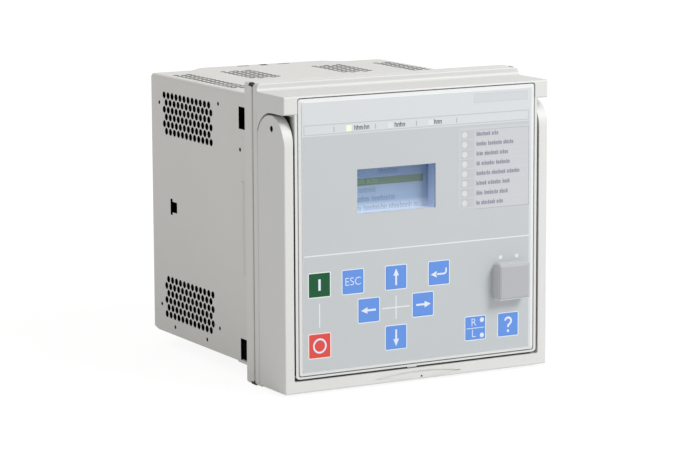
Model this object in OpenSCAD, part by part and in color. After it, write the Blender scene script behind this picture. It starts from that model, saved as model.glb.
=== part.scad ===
// Flush-mounted protection relay: a folded sheet case behind a panel frame, and a plug-in unit
// with a display, keys and a bail handle that draws out of the case.
// Millimetres. The origin is the middle of the frame's rear face, which lies on the panel.
// The front faces -Y, +X is to the right of a person in front of it, and +Z is up.

/* [Case] */
// Width of the sheet case
case_w = 164; // [156:1:200]
// Height of the sheet case
case_h = 160; // [132:1:196]
// Depth of the side walls behind the panel
case_d = 138.3; // [114:0.1:180]
// Thickness of the case sheet
sheet = 1.2; // [0.8:0.1:1.6]
// Outer radius of the sheet folds
fold_r = 2.4; // [2:0.1:4]
// How far the tab over the terminals reaches behind the side walls
tab_d = 11; // [6:0.5:16]
// Width of that tab where it leaves the top
tab_w = 108; // [80:1:130]

/* [Vents] */
// Diameter of a vent hole
vent_dia = 3.9; // [2.5:0.1:4.2]
// Distance between holes in a row
vent_pitch = 5.57; // [5:0.05:7]
// Distance between rows
vent_row = 4.43; // [4.2:0.05:6]
// Holes in each row of a side group
vent_cols = 12; // [6:1:14]
// Rows in each side group
vent_rows = 6; // [2:1:7]

/* [Panel frame] */
// How far the frame reaches past the case at each side
over_x = 6.5; // [4:0.5:12]
// How far the frame reaches past the case at top and bottom
over_z = 8.5; // [7:0.5:12]
// Thickness of the frame
frame_t = 9; // [6:0.5:12]
// Thickness of the seal between frame and bezel
seal_t = 1.2; // [0.8:0.1:2]
// Depth of the frame's neck inside the case
neck_d = 10; // [6:0.5:11]
// Wall of the neck
neck_wall = 1.8; // [1.4:0.1:2.2]

/* [Bezel] */
// Thickness of the bezel's flange
flange_t = 5.4; // [4:0.2:8]
// Distance from the panel to the front of the hood and the handle
front_d = 48; // [44:0.5:60]
// Step from the top of the flange down to the hood
hood_drop = 4.7; // [3:0.1:8]
// Height of the hood's corner blocks over the arms
hood_block = 10.5; // [8:0.1:14]
// Wall of the bezel at the sides
lip_side = 1.6; // [1.4:0.1:3]
// Wall of the bezel above and below the plate
lip_low = 1.1; // [1:0.1:2]
// Groove around the front plate
groove = 0.7; // [0.4:0.1:1]
// How far the film stands in front of the bezel's lip
film_proud = 0.8; // [0.2:0.1:1.2]

/* [Handle] */
// Thickness of the handle's arms
arm_t = 6; // [4:0.1:7]
// Gap between an arm and the bezel
arm_gap = 1.3; // [1.2:0.1:2.4]
// Height of the handle's bar
bar_h = 7; // [6:0.1:10]
// Gap between the bar and the bezel
bar_gap = 1.2; // [1:0.1:2]
// Gap over the round end of an arm
hood_gap = 1.3; // [1.2:0.1:2]
// Diameter of the pivot pins
pivot_dia = 2.9; // [2:0.1:4]

/* [Keys and display] */
// Side of a square key
key_size = 13.5; // [10:0.1:14.2]
// Travel of a key
key_travel = 0.5; // [0.3:0.1:0.6]
// Gap around a key
key_gap = 0.1; // [0.1:0.05:0.4]
// Distance between the rows of keys
key_row = 17.65; // [17.4:0.05:19]
// Width of the display window
lcd_w = 52.1; // [40:0.1:56]
// Height of the display window
lcd_h = 25.8; // [20:0.1:30]
// Depth of the display behind the film
lcd_deep = 8.5; // [6:0.1:9]
// Diameter or side of an indicator lens
lens_size = 3.8; // [2.5:0.1:4.5]
// Side of the front port's cover
cap_size = 21.6; // [18:0.1:22.4]
// How far the cover stands out of the film
cap_proud = 7.2; // [5:0.1:12]

/* [Inside] */
// Thickness of the chassis plates
chassis_t = 1.5; // [1:0.1:2]
// Thickness of a circuit board
board_t = 1.6; // [1:0.1:2.4]
// Length of a rear terminal block
block_h = 112; // [100:1:124]

/* [Hidden] */
$fn = 48;

// Cutters run this far past what they cut
past = 1;
// Clearances of parts that slide past each other, and of a pin that turns in its hole
slide_gap = 0.3;
turn_gap = 0.05;
fit_gap = 0.02;
// Radius of the small machine screws
screw_r = 1.5;

// Case
cw = case_w / 2;
ch = case_h / 2;
in_hw = cw - sheet;
in_hh = ch - sheet;
floor_lip = 11;
// Shallow seat in the frame's rear face that takes the front edge of the sheet
seat_d = 0.4;
seat_gap = 0.2;
// Step by which the side walls reach lower beside the frame
foot_drop = 0.8;
foot_y = 22;
back_y = case_d - sheet;
// Corner radius of what fits inside the folds
fold_in = fold_r - sheet + 0.3;
// Slots in the side walls that take the panel brackets
slot_y = 12;
slot_w = 7.8;
slot_h = 13.1;
slot_zs = [ch - 21.6, -ch + 0.9];

// Frame and bezel outlines, seen from the front
fhw = cw + over_x;
fhh = ch + over_z;
open_hw = in_hw - neck_wall;
open_hh = in_hh - neck_wall - 0.5;
bhw = fhw - 0.2;
bhh = fhh - 0.2;
flange_y = -(frame_t + seal_t);
arm_back = flange_y - flange_t;
front_y = -front_d;
lip_y = front_y + 0.4;
film_y = lip_y - film_proud;
film_t = 0.4;
plate_y = film_y + film_t;
plate_t = 2.6;
ledge_y = plate_y + plate_t;
bevel = 2.1;
bevel_d = 0.4;
hood_top = fhh - hood_drop;
tube_hw = bhw - arm_t - arm_gap;
bar_low = -(fhh - 1.5);
bar_top = bar_low + bar_h;
tube_low = bar_top + bar_gap;
plate_hw = tube_hw - lip_side - groove;
plate_low = tube_low + lip_low + groove;
plate_top = hood_top - lip_low - groove;
skirt_hw = open_hw - 0.7;
skirt_hh = open_hh - 0.7;
skirt_wall = 2;
hood_wall = 2;
hood_fillet = 2;
skirt_y = 3;

// Handle
arm_seam = 0.35;
arm_rear = arm_back - arm_seam;
arm_r = (arm_rear - front_y) / 2;
arm_mid = (arm_rear + front_y) / 2;
hood_low = hood_top - hood_block;
arm_top = hood_low - hood_gap;
arm_rise = arm_top - arm_r;
pivot_y = arm_mid - 1.5;
pivot_z = arm_rise + 8.5;
nub_w = 6.6;
nub_x = -4.4;

// Layout of the front, measured in from the plate's edges
col_switch = -plate_hw + 12.6;
col_escape = -plate_hw + 34.5;
col_cross = -plate_hw + 63;
cross_step = 18.1;
col_enter = -plate_hw + 91.9;
col_remote = plate_hw - 40.5;
col_help = plate_hw - 17.8;
row_low = plate_low + 16.7;
row_mid = row_low + key_row;
row_top = row_low + 2 * key_row;
key_places = [[col_switch, row_top], [col_switch, row_low], [col_escape, row_top],
    [col_cross, row_top], [col_cross - cross_step, row_mid], [col_cross + cross_step, row_mid],
    [col_cross, row_low], [col_enter, row_top], [col_remote, row_low], [col_help, row_low]];
lcd_x = -plate_hw + 37.5;
lcd_z = plate_top - 42.3 - lcd_h;
label_w = 37.4;
label_h = 46.4;
label_x = plate_hw - 3.9 - label_w;
label_z = plate_top - 24.9 - label_h;
alarm_x = plate_hw - 48.1;
alarm_count = 8;
alarm_pitch = 5.73;
alarm_z = plate_top - 27.4;
status_x = -plate_hw + 32.2;
status_pitch = 27.1;
status_z = plate_top - 18.2;
alarm_places = [for (i = [0 : alarm_count - 1]) [alarm_x, alarm_z - i * alarm_pitch]];
status_places = [for (i = [0 : 2]) [status_x + i * status_pitch, status_z]];
port_x = plate_hw - 17.4;
port_z = plate_low + 43.4;
port_size = 16;

// Depths behind the film
lcd_y = film_y + lcd_deep;
lcd_t = 3.4;
hmi_y = lcd_y + lcd_t;
key_back = ledge_y + slide_gap + 0.8;
switch_y = key_back + key_travel + 0.2;

// Plug-in unit
chassis_x = skirt_hw - skirt_wall;
chassis_hh = skirt_hh - skirt_wall - 1.2;
rail_w = 8.5;
rail_deep = 9;
unit_back = case_d - 24.3;
board_front = hmi_y + board_t + 13;
board_back = unit_back - 8;
board_hh = chassis_hh - 6;
block_w = 20;
// How far a block's flange reaches past the cut-out in the back plate
block_ledge = 1;
block_end = 8;
plug_w = 9;
plug_h = block_h - 12;
plug_gap = 0.2;
plug_y = unit_back + 12;
current_x = 44;
signal_xs = [-8, -44];
board_xs = [current_x, signal_xs[0], signal_xs[1]];

// Profile drawn in X and Z, running from y0 to y1
module front_slab(y0, y1) {
    translate([0, y1, 0]) rotate([90, 0, 0]) linear_extrude(y1 - y0) children();
}
// Profile drawn in Y and Z, running from x0 to x1
module side_slab(x0, x1) {
    translate([x0, 0, 0]) rotate([90, 0, 90]) linear_extrude(x1 - x0) children();
}
// Profile drawn in X and Y, running from z0 to z1
module plan_slab(z0, z1) {
    translate([0, 0, z0]) linear_extrude(z1 - z0) children();
}
// Rectangle between two corners, with round corners
module rounded(a0, a1, b0, b1, r) {
    translate([a0 + r, b0]) square([a1 - a0 - 2 * r, b1 - b0]);
    translate([a0, b0 + r]) square([a1 - a0, b1 - b0 - 2 * r]);
    for (a = [a0 + r, a1 - r], b = [b0 + r, b1 - r]) translate([a, b]) circle(r);
}
module block(lo, hi) {
    translate(lo) cube(hi - lo);
}
// Block whose edges are all rounded
module eased(lo, hi, r) {
    intersection() {
        front_slab(lo.y, hi.y) rounded(lo.x, hi.x, lo.z, hi.z, r);
        side_slab(lo.x, hi.x) rounded(lo.y, hi.y, lo.z, hi.z, r);
        plan_slab(lo.z, hi.z) rounded(lo.x, hi.x, lo.y, hi.y, r);
    }
}
module both_sides() {
    children();
    mirror([1, 0, 0]) children();
}
module at_each(places) {
    for (p = places) translate(p) children();
}
module square_hole(side) {
    square(side, center = true);
}
// Rod along Y from y0 to y1
module rod_y(x, z, r, y0, y1) {
    translate([x, y1, z]) rotate([90, 0, 0]) cylinder(r = r, h = y1 - y0);
}
// Rod along X from x0 to x1
module rod_x(y, z, r, x0, x1) {
    translate([x0, y, z]) rotate([0, 90, 0]) cylinder(r = r, h = x1 - x0);
}

// Case: one sheet folded over the top and both sides, with its vents and slots

// Rows of holes where every second row is moved by half a pitch
module vent_field(cols, rows, col_step, row_step) {
    for (i = [0 : rows - 1], j = [0 : cols - 1])
        translate([(j - (i % 2) / 2) * col_step, -i * row_step]) circle(d = vent_dia);
}
vent_front = case_d - 18.1 - (vent_cols - 1) * vent_pitch;
vent_high = ch - 11.8;
strip_x = cw - 16;
strip_front = 40;
strip_cols = floor((case_d - 13 - strip_front) / vent_pitch);
strip_rows = 3;
patch_x = 23.2;
patch_front = case_d - 56;
patch_cols = 8;
patch_rows = 5;
rivet_dia = 2.4;
rivet_places = [[case_d - 11.1, ch - 17], [case_d - 11.1, -ch + 17], [46.4, ch - 9.8],
    [18.3, ch - 33.8], [47.2, -ch + 15]];
floor_rivets = [[case_d - 73.8, -ch + 5.2], [case_d - 29.6, -ch + 5.2]];
// Keyhole in each side wall: a narrow cross bar and a wider throat in front of it
keyhole_y = case_d - 28.1;
keyhole_bar = [3, 10];
keyhole_throat = [6.2, 6.6];
chamfer_y = 6;
chamfer_z = 1.5;
module side_cuts() {
    for (flip = [0, 1]) mirror([0, flip])
        translate([vent_front, vent_high]) vent_field(vent_cols, vent_rows, vent_pitch, vent_row);
    for (z = slot_zs) translate([slot_y, z]) square([slot_w, slot_h]);
    at_each(rivet_places) circle(d = rivet_dia);
    floor_holes();
    translate([keyhole_y, -keyhole_bar.y / 2]) square(keyhole_bar);
    translate([keyhole_y - keyhole_throat.x, -keyhole_throat.y / 2]) square(keyhole_throat + [past, 0]);
    translate([case_d, -ch]) polygon([[-chamfer_y, -past], [-chamfer_y, 0], [0, chamfer_z],
        [past, chamfer_z], [past, -past]]);
}
module floor_holes() {
    at_each(floor_rivets) circle(d = rivet_dia);
}
// Two slots and a square hole near the tab's rear edge
tab_slot = [8.3, 2.4];
tab_hole = [5, 5.4];
tab_slot_x = 14.5;
tab_slot_in = 3.6;
module top_cuts() {
    for (flip = [0, 1]) mirror([flip, 0]) {
        translate([strip_x, strip_front]) rotate(90)
            vent_field(strip_cols, strip_rows, vent_pitch, vent_row);
        patch_cuts();
    }
    translate([0, case_d + tab_d - tab_slot_in]) {
        square(tab_hole, center = true);
        for (side = [-1, 1]) translate([side * tab_slot_x, 0]) square(tab_slot, center = true);
    }
}
module patch_cuts() {
    translate([patch_x, patch_front]) rotate(90) vent_field(patch_cols, patch_rows, vent_pitch, vent_row);
}
module wrap_outline(inset, r) {
    rounded(-cw + inset, cw - inset, -ch, ch - inset, r);
    translate([-cw + inset, -ch]) square([2 * (cw - inset), ch]);
}
module case_wrap() {
    bead_r = 3;
    bead_out = 0.8;
    bead_y = 15.2;
    bead_h = 55;
    color("silver") difference() {
        union() {
            front_slab(-seat_d, case_d) difference() {
                wrap_outline(0, fold_r);
                wrap_outline(sheet, fold_r - sheet);
            }
            both_sides() side_slab(-cw, -in_hw) polygon([[-seat_d, -ch - foot_drop],
                [foot_y, -ch - foot_drop], [foot_y + 2.5, -ch],
                [foot_y + 2.5, -ch + past], [-seat_d, -ch + past]]);
            plan_slab(in_hh, ch) polygon([[-tab_w / 2, case_d - past], [-tab_w / 2, case_d],
                [-tab_w / 2 + tab_d, case_d + tab_d], [tab_w / 2 - tab_d, case_d + tab_d],
                [tab_w / 2, case_d], [tab_w / 2, case_d - past]]);
            both_sides() intersection() {
                translate([-cw - bead_out + bead_r, bead_y, -bead_h / 2]) cylinder(r = bead_r, h = bead_h);
                block([-cw - bead_r, bead_y - bead_r, -ch], [-cw + sheet / 2, bead_y + bead_r, ch]);
            }
        }
        side_slab(-cw - past, cw + past) side_cuts();
        plan_slab(in_hh - past, ch + past) top_cuts();
    }
}

// Floor plate with its edges turned up inside the side walls
module case_floor() {
    color("silver") difference() {
        front_slab(-seat_d, case_d) difference() {
            translate([-in_hw, -ch]) square([2 * in_hw, floor_lip]);
            translate([-in_hw + sheet, -in_hh]) square([2 * (in_hw - sheet), floor_lip]);
        }
        // The turned-up edges stop short of the neck, the bracket slots and the back plate
        both_sides() for (span = [[-past, slot_y + slot_w + 2], [back_y, case_d + past]])
            block([-in_hw - past, span[0], -in_hh], [-open_hw + past, span[1], ch]);
        side_slab(-cw, cw) floor_holes();
        plan_slab(-ch - past, -in_hh + past) for (flip = [0, 1]) mirror([flip, 0]) patch_cuts();
    }
}

// Back plate with cut-outs for the terminal blocks and edges turned forward
module case_back() {
    edge_d = 9;
    color("silver") difference() {
        union() {
            front_slab(back_y, case_d) rounded(-in_hw, in_hw, -in_hh, in_hh, fold_in);
            block([-in_hw + fold_r, back_y - edge_d, in_hh - sheet],
                [in_hw - fold_r, back_y + sheet / 2, in_hh]);
            both_sides() block([-in_hw, back_y - edge_d, -in_hh + floor_lip + 2],
                [-in_hw + sheet, back_y + sheet / 2, in_hh - fold_r - 2]);
        }
        for (x = board_xs) block([x - block_w / 2 + block_ledge, 0, -block_h / 2 + block_end],
            [x + block_w / 2 - block_ledge, case_d + past, block_h / 2 - block_end]);
        for (p = back_screw_places) rod_y(p.x, p.y, screw_r + turn_gap, 0, case_d + past);
        rod_y(earth_place.x, earth_place.y, earth_r + turn_gap, 0, case_d + past);
    }
}
back_screw_places = [for (x = board_xs, z = [-1, 1]) [x, z * (block_h - block_end) / 2]];
earth_place = [in_hw - 12, -in_hh + 14];

// Frame that lies on the panel, with a neck inside the case
module case_frame() {
    corner_r = 3;
    color("gainsboro") difference() {
        union() {
            difference() {
                intersection() {
                    eased([-fhw, -frame_t, -fhh], [fhw, 0, fhh], 1);
                    front_slab(-frame_t, 0) rounded(-fhw, fhw, -fhh, fhh, corner_r);
                }
                front_slab(-seat_d, past) {
                    wrap_outline(-seat_gap, fold_r);
                    translate([-cw - seat_gap, -ch - foot_drop - seat_gap])
                        square([2 * (cw + seat_gap), foot_drop + seat_gap + past]);
                }
            }
            front_slab(-past, neck_d) rounded(-in_hw, in_hw, -in_hh, in_hh, fold_in);
        }
        front_slab(-frame_t - past, neck_d + past) rounded(-open_hw, open_hw, -open_hh, open_hh, 2);
        // Notches at the corners, where the ends of the seal come through
        both_sides() for (z = [-1, 1])
            rod_y(-fhw + bead_in, z * (fhh - bead_in), bead_dia / 2 + slide_gap,
                -frame_t, -frame_t + bead_long);
    }
}
bead_dia = 2.4;
bead_in = 1.4;
bead_long = 3.6;

// Rubber seal between frame and bezel, with a bead in each corner notch
seal_in = 1.2;
module frame_seal() {
    color("black") {
        front_slab(flange_y, -frame_t) difference() {
            rounded(-fhw + seal_in, fhw - seal_in, -fhh + seal_in, fhh - seal_in, 2.4);
            rounded(-open_hw, open_hw, -open_hh, open_hh, 2);
        }
        both_sides() for (z = [-1, 1])
            rod_y(-fhw + bead_in, z * (fhh - bead_in), bead_dia / 2,
                flange_y, -frame_t + bead_long - slide_gap);
    }
}

// Slotted rails that guide the chassis plates
module guide_rails() {
    color("darkslategray") both_sides() for (flip = [0, 1]) mirror([0, 0, flip])
        front_slab(slot_y + slot_w + 3, unit_back + 4) difference() {
            translate([-in_hw + sheet, -in_hh]) square([rail_w, in_hh - chassis_hh + 3]);
            translate([-chassis_x - slide_gap, -chassis_hh - slide_gap])
                square([chassis_t + 2 * slide_gap, rail_deep]);
        }
}

// Terminal blocks: a socket inside, a flange on the back plate and a row of clamps behind it
wire = 3.4;
wire_x = 2;
clamp_x = -3.6;
clamp_deep = 5;
block_rear = case_d + tab_d - 0.5;
block_flange = 3;
function clamp_zs(pitch) = let (count = floor((block_h - 18) / pitch))
    [for (i = [0 : count - 1]) (i - (count - 1) / 2) * pitch];
module terminal_block(x, clamp_pitch, clamp_r) {
    body_hw = block_w / 2 - block_ledge - slide_gap;
    body_hh = block_h / 2 - block_end - slide_gap;
    difference() {
        union() {
            eased([x - block_w / 2, case_d, -block_h / 2],
                [x + block_w / 2, case_d + block_flange, block_h / 2], 0.8);
            block([x - body_hw, unit_back + 2, -body_hh], [x + body_hw, block_rear, body_hh]);
        }
        block([x - plug_w / 2 - slide_gap, unit_back, -plug_h / 2 - slide_gap],
            [x + plug_w / 2 + slide_gap, plug_y + slide_gap, plug_h / 2 + slide_gap]);
        for (z = clamp_zs(clamp_pitch)) {
            rod_y(x + clamp_x, z, clamp_r, block_rear - clamp_deep, block_rear + past);
            block([x + wire_x, block_rear - clamp_deep - past, z - wire / 2],
                [x + wire_x + wire, block_rear + past, z + wire / 2]);
        }
        for (z = [-1, 1]) rod_y(x, z * (block_h / 2 - block_end / 2), screw_r + turn_gap,
            case_d - past, case_d + block_flange + past);
    }
}
module clamp_screws(x, clamp_pitch, clamp_r) {
    head_y = block_rear - 1.6;
    cut_d = 0.8;
    cut_w = 0.8;
    for (z = clamp_zs(clamp_pitch)) difference() {
        rod_y(x + clamp_x, z, clamp_r - fit_gap, block_rear - clamp_deep, head_y);
        block([x + clamp_x - clamp_r, head_y - cut_d, z - cut_w / 2],
            [x + clamp_x + clamp_r, block_rear, z + cut_w / 2]);
    }
}
current_pitch = 9.4;
current_r = 3.2;
signal_pitch = 5.22;
signal_r = 1.7;
module current_terminals() {
    color("dimgray") terminal_block(current_x, current_pitch, current_r);
}
module current_terminal_screws() {
    color("gold") clamp_screws(current_x, current_pitch, current_r);
}
module signal_terminals() {
    color("darkgreen") for (x = signal_xs) terminal_block(x, signal_pitch, signal_r);
}
module signal_terminal_screws() {
    color("gold") for (x = signal_xs) clamp_screws(x, signal_pitch, signal_r);
}
// Cross-slotted screws through the blocks' flanges and the back plate
module pan_screw_y(x, z, head_y, head_r, shank_r, shank) {
    difference() {
        union() {
            rod_y(x, z, head_r, head_y, head_y + head_r * 0.7);
            rod_y(x, z, shank_r, head_y - shank, head_y + 0.2);
        }
        for (turn = [0, 90]) translate([x, head_y + head_r * 0.7, z]) rotate([0, turn, 0])
            cube([head_r * 1.2, head_r * 0.7, head_r * 0.26], center = true);
    }
}
module back_screws() {
    color("lightgray") for (p = back_screw_places)
        pan_screw_y(p.x, p.y, case_d + block_flange, 2.8, screw_r, 7);
}
washer_t = 1;
earth_r = 2;
module earth_screw() {
    color("lightgray") pan_screw_y(earth_place.x, earth_place.y, case_d + washer_t, 4, earth_r, 8);
}
module earth_washer() {
    color("gold") difference() {
        rod_y(earth_place.x, earth_place.y, 5.5, case_d, case_d + washer_t);
        rod_y(earth_place.x, earth_place.y, earth_r + turn_gap, case_d - past, case_d + washer_t + past);
    }
}

// Bezel: flange, hood and front wall moulded in one piece

// Side of the hood: straight over the front of the arm, then round behind the arm's end
module hood_side() {
    difference() {
        union() {
            rounded(front_y, arm_back + 3, hood_low, hood_top, 1);
            translate([arm_mid, arm_rise - 6]) square([arm_back - arm_mid, hood_top - arm_rise]);
            difference() {
                translate([arm_back - hood_fillet, hood_top - past]) square(hood_fillet + past);
                translate([arm_back - hood_fillet, hood_top + hood_fillet]) circle(hood_fillet);
            }
        }
        translate([arm_mid, arm_rise]) circle(arm_r + hood_gap);
        translate([front_y, arm_rise - 7]) square([arm_back - arm_seam - front_y, 7]);
    }
}
module bezel() {
    color("whitesmoke") difference() {
        union() {
            intersection() {
                eased([-bhw, arm_back, -bhh], [bhw, flange_y, bhh], 0.9);
                front_slab(arm_back, flange_y) rounded(-bhw, bhw, -bhh, bhh, 3);
            }
            front_slab(lip_y, arm_back + past) rounded(-tube_hw, tube_hw, tube_low, hood_top - 0.6, 2.4);
            intersection() {
                side_slab(-bhw, bhw) hood_side();
                plan_slab(arm_rise - 8, hood_top + hood_fillet) rounded(-bhw, bhw, front_y, arm_back + 4, 1);
            }
            front_slab(flange_y - past, skirt_y) rounded(-skirt_hw, skirt_hw, -skirt_hh, skirt_hh, 2);
            // Nub that the handle's bar snaps behind
            eased([nub_x - nub_w / 2, lip_y + 0.3, tube_low - 0.85],
                [nub_x + nub_w / 2, lip_y + 2, tube_low + 0.8], 0.4);
        }
        // Recess that takes the front plate, and the room behind it
        front_slab(front_y - past, ledge_y)
            rounded(-plate_hw - groove, plate_hw + groove, plate_low - groove, plate_top + groove, 1.6);
        front_slab(ledge_y - past, ledge_y + 3)
            rounded(-plate_hw + 3, plate_hw - 3, plate_low + 3, plate_top - 3, 2);
        front_slab(ledge_y + 2, arm_back - 1)
            rounded(-plate_hw - groove, plate_hw + groove, plate_low - groove + 0.4, plate_top - 1, 2);
        front_slab(arm_back - 2, skirt_y + past)
            rounded(-chassis_x, chassis_x, -skirt_hh + skirt_wall, skirt_hh - skirt_wall, 1);
        // Hollow corner blocks behind the hood's front
        both_sides() block([-bhw + hood_wall, front_y + hood_wall, hood_low + hood_wall],
            [-tube_hw - 0.2, arm_back - hood_wall, hood_top - hood_wall]);
        both_sides() rod_x(pivot_y, pivot_z, pivot_dia / 2 + fit_gap, -bhw, -plate_hw + past);
        both_sides() for (p = chassis_front_places)
            rod_x(p.x, p.y, screw_r + turn_gap, -skirt_hw - past, -chassis_x + past);
    }
}
chassis_front_places = [for (z = [-50, 50]) [skirt_y - 6, z]];

// Pins that carry the handle's arms, sunk below the arms' outer faces
module handle_pins() {
    color("gray") both_sides() rod_x(pivot_y, pivot_z, pivot_dia / 2, -bhw + 2, -plate_hw - groove);
}

// Plate with a bevelled border, and openings for keys, lenses, display and port
module bevelled(a0, a1, deep_y) {
    polygon([[deep_y, a0], [deep_y, a1], [plate_y + bevel_d, a1], [plate_y, a1 - bevel],
        [plate_y, a0 + bevel], [plate_y + bevel_d, a0]]);
}
lens_gap = 0.05;
module front_openings() {
    at_each(key_places) square_hole(key_size + 2 * key_gap);
    at_each(status_places) square_hole(lens_size + 2 * lens_gap);
    at_each(alarm_places) circle(d = lens_size + 2 * lens_gap);
    translate([port_x, port_z]) square_hole(port_size + 2 * lens_gap);
}
module display_opening(extra) {
    translate([lcd_x - extra, lcd_z - extra]) square([lcd_w + 2 * extra, lcd_h + 2 * extra]);
}
module label_opening(extra) {
    translate([label_x - extra, label_z - extra]) square([label_w + 2 * extra, label_h + 2 * extra]);
}
shroud = 1.2;
window_t = 0.7;
module front_plate() {
    color("gainsboro") difference() {
        union() {
            intersection() {
                front_slab(plate_y, ledge_y) rounded(-plate_hw, plate_hw, plate_low, plate_top, 1.2);
                side_slab(-plate_hw, plate_hw) bevelled(plate_low, plate_top, ledge_y);
                plan_slab(plate_low, plate_top) mirror([1, -1]) bevelled(-plate_hw, plate_hw, ledge_y);
            }
            front_slab(plate_y + 1, lcd_y) display_opening(shroud);
        }
        front_slab(plate_y - past, ledge_y + past) front_openings();
        front_slab(plate_y - past, lcd_y + past) display_opening(0);
        front_slab(plate_y - past, plate_y + window_t) display_opening(shroud);
    }
}

// Printed film on the plate
module front_film() {
    color("lightgray") front_slab(film_y, plate_y) difference() {
        rounded(-plate_hw + bevel, plate_hw - bevel, plate_low + bevel, plate_top - bevel, 0.8);
        front_openings();
        display_opening(0);
        label_opening(0.1);
    }
}
module display_window() {
    color("lightblue", 0.4) front_slab(plate_y + fit_gap, plate_y + window_t)
        display_opening(shroud - lens_gap);
}
module label_card() {
    color("white") front_slab(film_y + 0.1, plate_y) label_opening(0);
}
// Display: a metal frame round the glass
module display_module() {
    rim = 4;
    color("steelblue") {
        front_slab(lcd_y, lcd_y + 1) display_opening(rim - 0.5);
        front_slab(lcd_y + 0.5, hmi_y) display_opening(rim);
    }
}

// Light pipes, flush with the film, and the diodes behind them
pipe_r = 1.4;
led_t = 1.2;
module light_pipes(places) {
    for (p = places) rod_y(p.x, p.y, pipe_r, ledge_y, hmi_y - led_t - lens_gap);
}
module status_lenses() {
    half = lens_size / 2;
    color("lightyellow") {
        for (p = status_places)
            block([p.x - half, film_y, p.y - half], [p.x + half, ledge_y + 1, p.y + half]);
        light_pipes(status_places);
    }
}
module alarm_lenses() {
    color("white") {
        for (p = alarm_places) rod_y(p.x, p.y, lens_size / 2, film_y, ledge_y + 1);
        light_pipes(alarm_places);
    }
}
module leds() {
    color("ivory") for (p = concat(status_places, alarm_places))
        block([p.x - pipe_r, hmi_y - led_t, p.y - pipe_r], [p.x + pipe_r, hmi_y, p.y + pipe_r]);
}

// Board behind the front, on spacers from the plate
hmi_side = [for (x = [-1, 1], z = [row_top + 23.5, plate_top - 8]) [x * (plate_hw - 9), z]];
hmi_low = [[col_escape, row_low], [(col_cross + col_remote) / 2, row_low]];
hmi_places = concat(hmi_side, hmi_low);
module hmi_board() {
    color("seagreen") difference() {
        front_slab(hmi_y, hmi_y + board_t) difference() {
            rounded(-plate_hw + 5, plate_hw - 5, plate_low + 4.5, plate_top - 4.5, 2);
            at_each(hmi_places) circle(1.6);
        }
        block([port_x - 4, hmi_y - past, port_z - 4], [port_x + 4, hmi_y + 3, port_z + 4]);
    }
}
module hmi_spacers() {
    color("silver") for (p = hmi_places) difference() {
        rod_y(p.x, p.y, 2.6, ledge_y, hmi_y);
        rod_y(p.x, p.y, screw_r + turn_gap, hmi_y - 6, hmi_y + past);
    }
}
module hmi_screws() {
    color("lightgray") for (p = hmi_places) pan_screw_y(p.x, p.y, hmi_y + board_t, 2.5, screw_r, 5);
}
// Tactile switches: square body, round plunger
module key_switches() {
    color("black") for (p = key_places) {
        eased([p.x - 3, switch_y + 2, p.y - 3], [p.x + 3, hmi_y, p.y + 3], 0.3);
        rod_y(p.x, p.y, 1.7, switch_y, switch_y + 3);
    }
}

// Optical front port: a socket with two lenses in its floor
port_floor = film_y + 6;
module port_socket() {
    color("black") difference() {
        front_slab(film_y, hmi_y) translate([port_x, port_z]) square_hole(port_size - 0.1);
        front_slab(film_y - past, port_floor) translate([port_x, port_z]) square_hole(12);
        for (x = [-3, 3]) rod_y(port_x + x, port_z, 2, port_floor - past, port_floor + 3);
    }
}
module port_lenses() {
    color("darkred") for (x = [-3, 3]) {
        rod_y(port_x + x, port_z, 2 - fit_gap, port_floor, port_floor + 3);
        intersection() {
            translate([port_x + x, port_floor + 1.2, port_z]) sphere(2.2);
            block([port_x + x - 2, port_floor - 2, port_z - 2], [port_x + x + 2, port_floor, port_z + 2]);
        }
    }
}
// Pull-off cover: its sides swell a little, and its front edges are rounded
cap_corner = 4;
module cap_outline(half, swell) {
    big = (half * half + swell * swell) / (2 * swell);
    intersection() {
        for (turn = [0 : 90 : 270]) rotate(turn) translate([half + swell - big, 0]) circle(big, $fn = 180);
        rounded(-half - swell, half + swell, -half - swell, half + swell, cap_corner);
    }
}
// Half section of the cover: drafted side and rounded front edge
module cap_section(half, base_y, tip_y) {
    draft = 0.6;
    edge = 1.6;
    wide = half - draft;
    polygon([[base_y, -half], [base_y, half], [tip_y + edge, wide], [tip_y + edge * 0.3, wide - edge * 0.3],
        [tip_y, wide - edge], [tip_y, -wide + edge], [tip_y + edge * 0.3, -wide + edge * 0.3],
        [tip_y + edge, -wide]]);
}
module port_cover() {
    swell = 0.6;
    half = cap_size / 2;
    base_y = film_y - 0.1;
    tip_y = film_y - cap_proud;
    stem = 11.4;
    hollow = 9;
    skin = 3;
    color("silver") translate([port_x, 0, port_z]) difference() {
        union() {
            intersection() {
                front_slab(tip_y, base_y) cap_outline(half, swell);
                side_slab(-cap_size, cap_size) cap_section(half + swell, base_y, tip_y);
                plan_slab(-cap_size, cap_size) mirror([1, -1]) cap_section(half + swell, base_y, tip_y);
            }
            front_slab(base_y - past, film_y + 3.5) square_hole(stem);
        }
        front_slab(tip_y + skin, film_y + 5) square_hole(hollow);
    }
}

// Keys: square pads with a retaining edge behind the plate
key_proud = 0.1;
key_edge = 0.2;
module key(i) {
    p = key_places[i];
    half = key_size / 2;
    eased([p.x - half, film_y - key_proud, p.y - half], [p.x + half, key_back, p.y + half], key_edge);
    front_slab(ledge_y + slide_gap, key_back) translate(p) square_hole(key_size + 1.8);
}
module key_close() { color("darkgreen") key(0); }
module key_open() { color("tomato") key(1); }
module key_escape() { color("cornflowerblue") key(2); }
module key_up() { color("cornflowerblue") key(3); }
module key_left() { color("cornflowerblue") key(4); }
module key_right() { color("cornflowerblue") key(5); }
module key_down() { color("cornflowerblue") key(6); }
module key_enter() { color("cornflowerblue") key(7); }
module key_remote() { color("cornflowerblue") key(8); }
module key_help() { color("cornflowerblue") key(9); }

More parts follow.
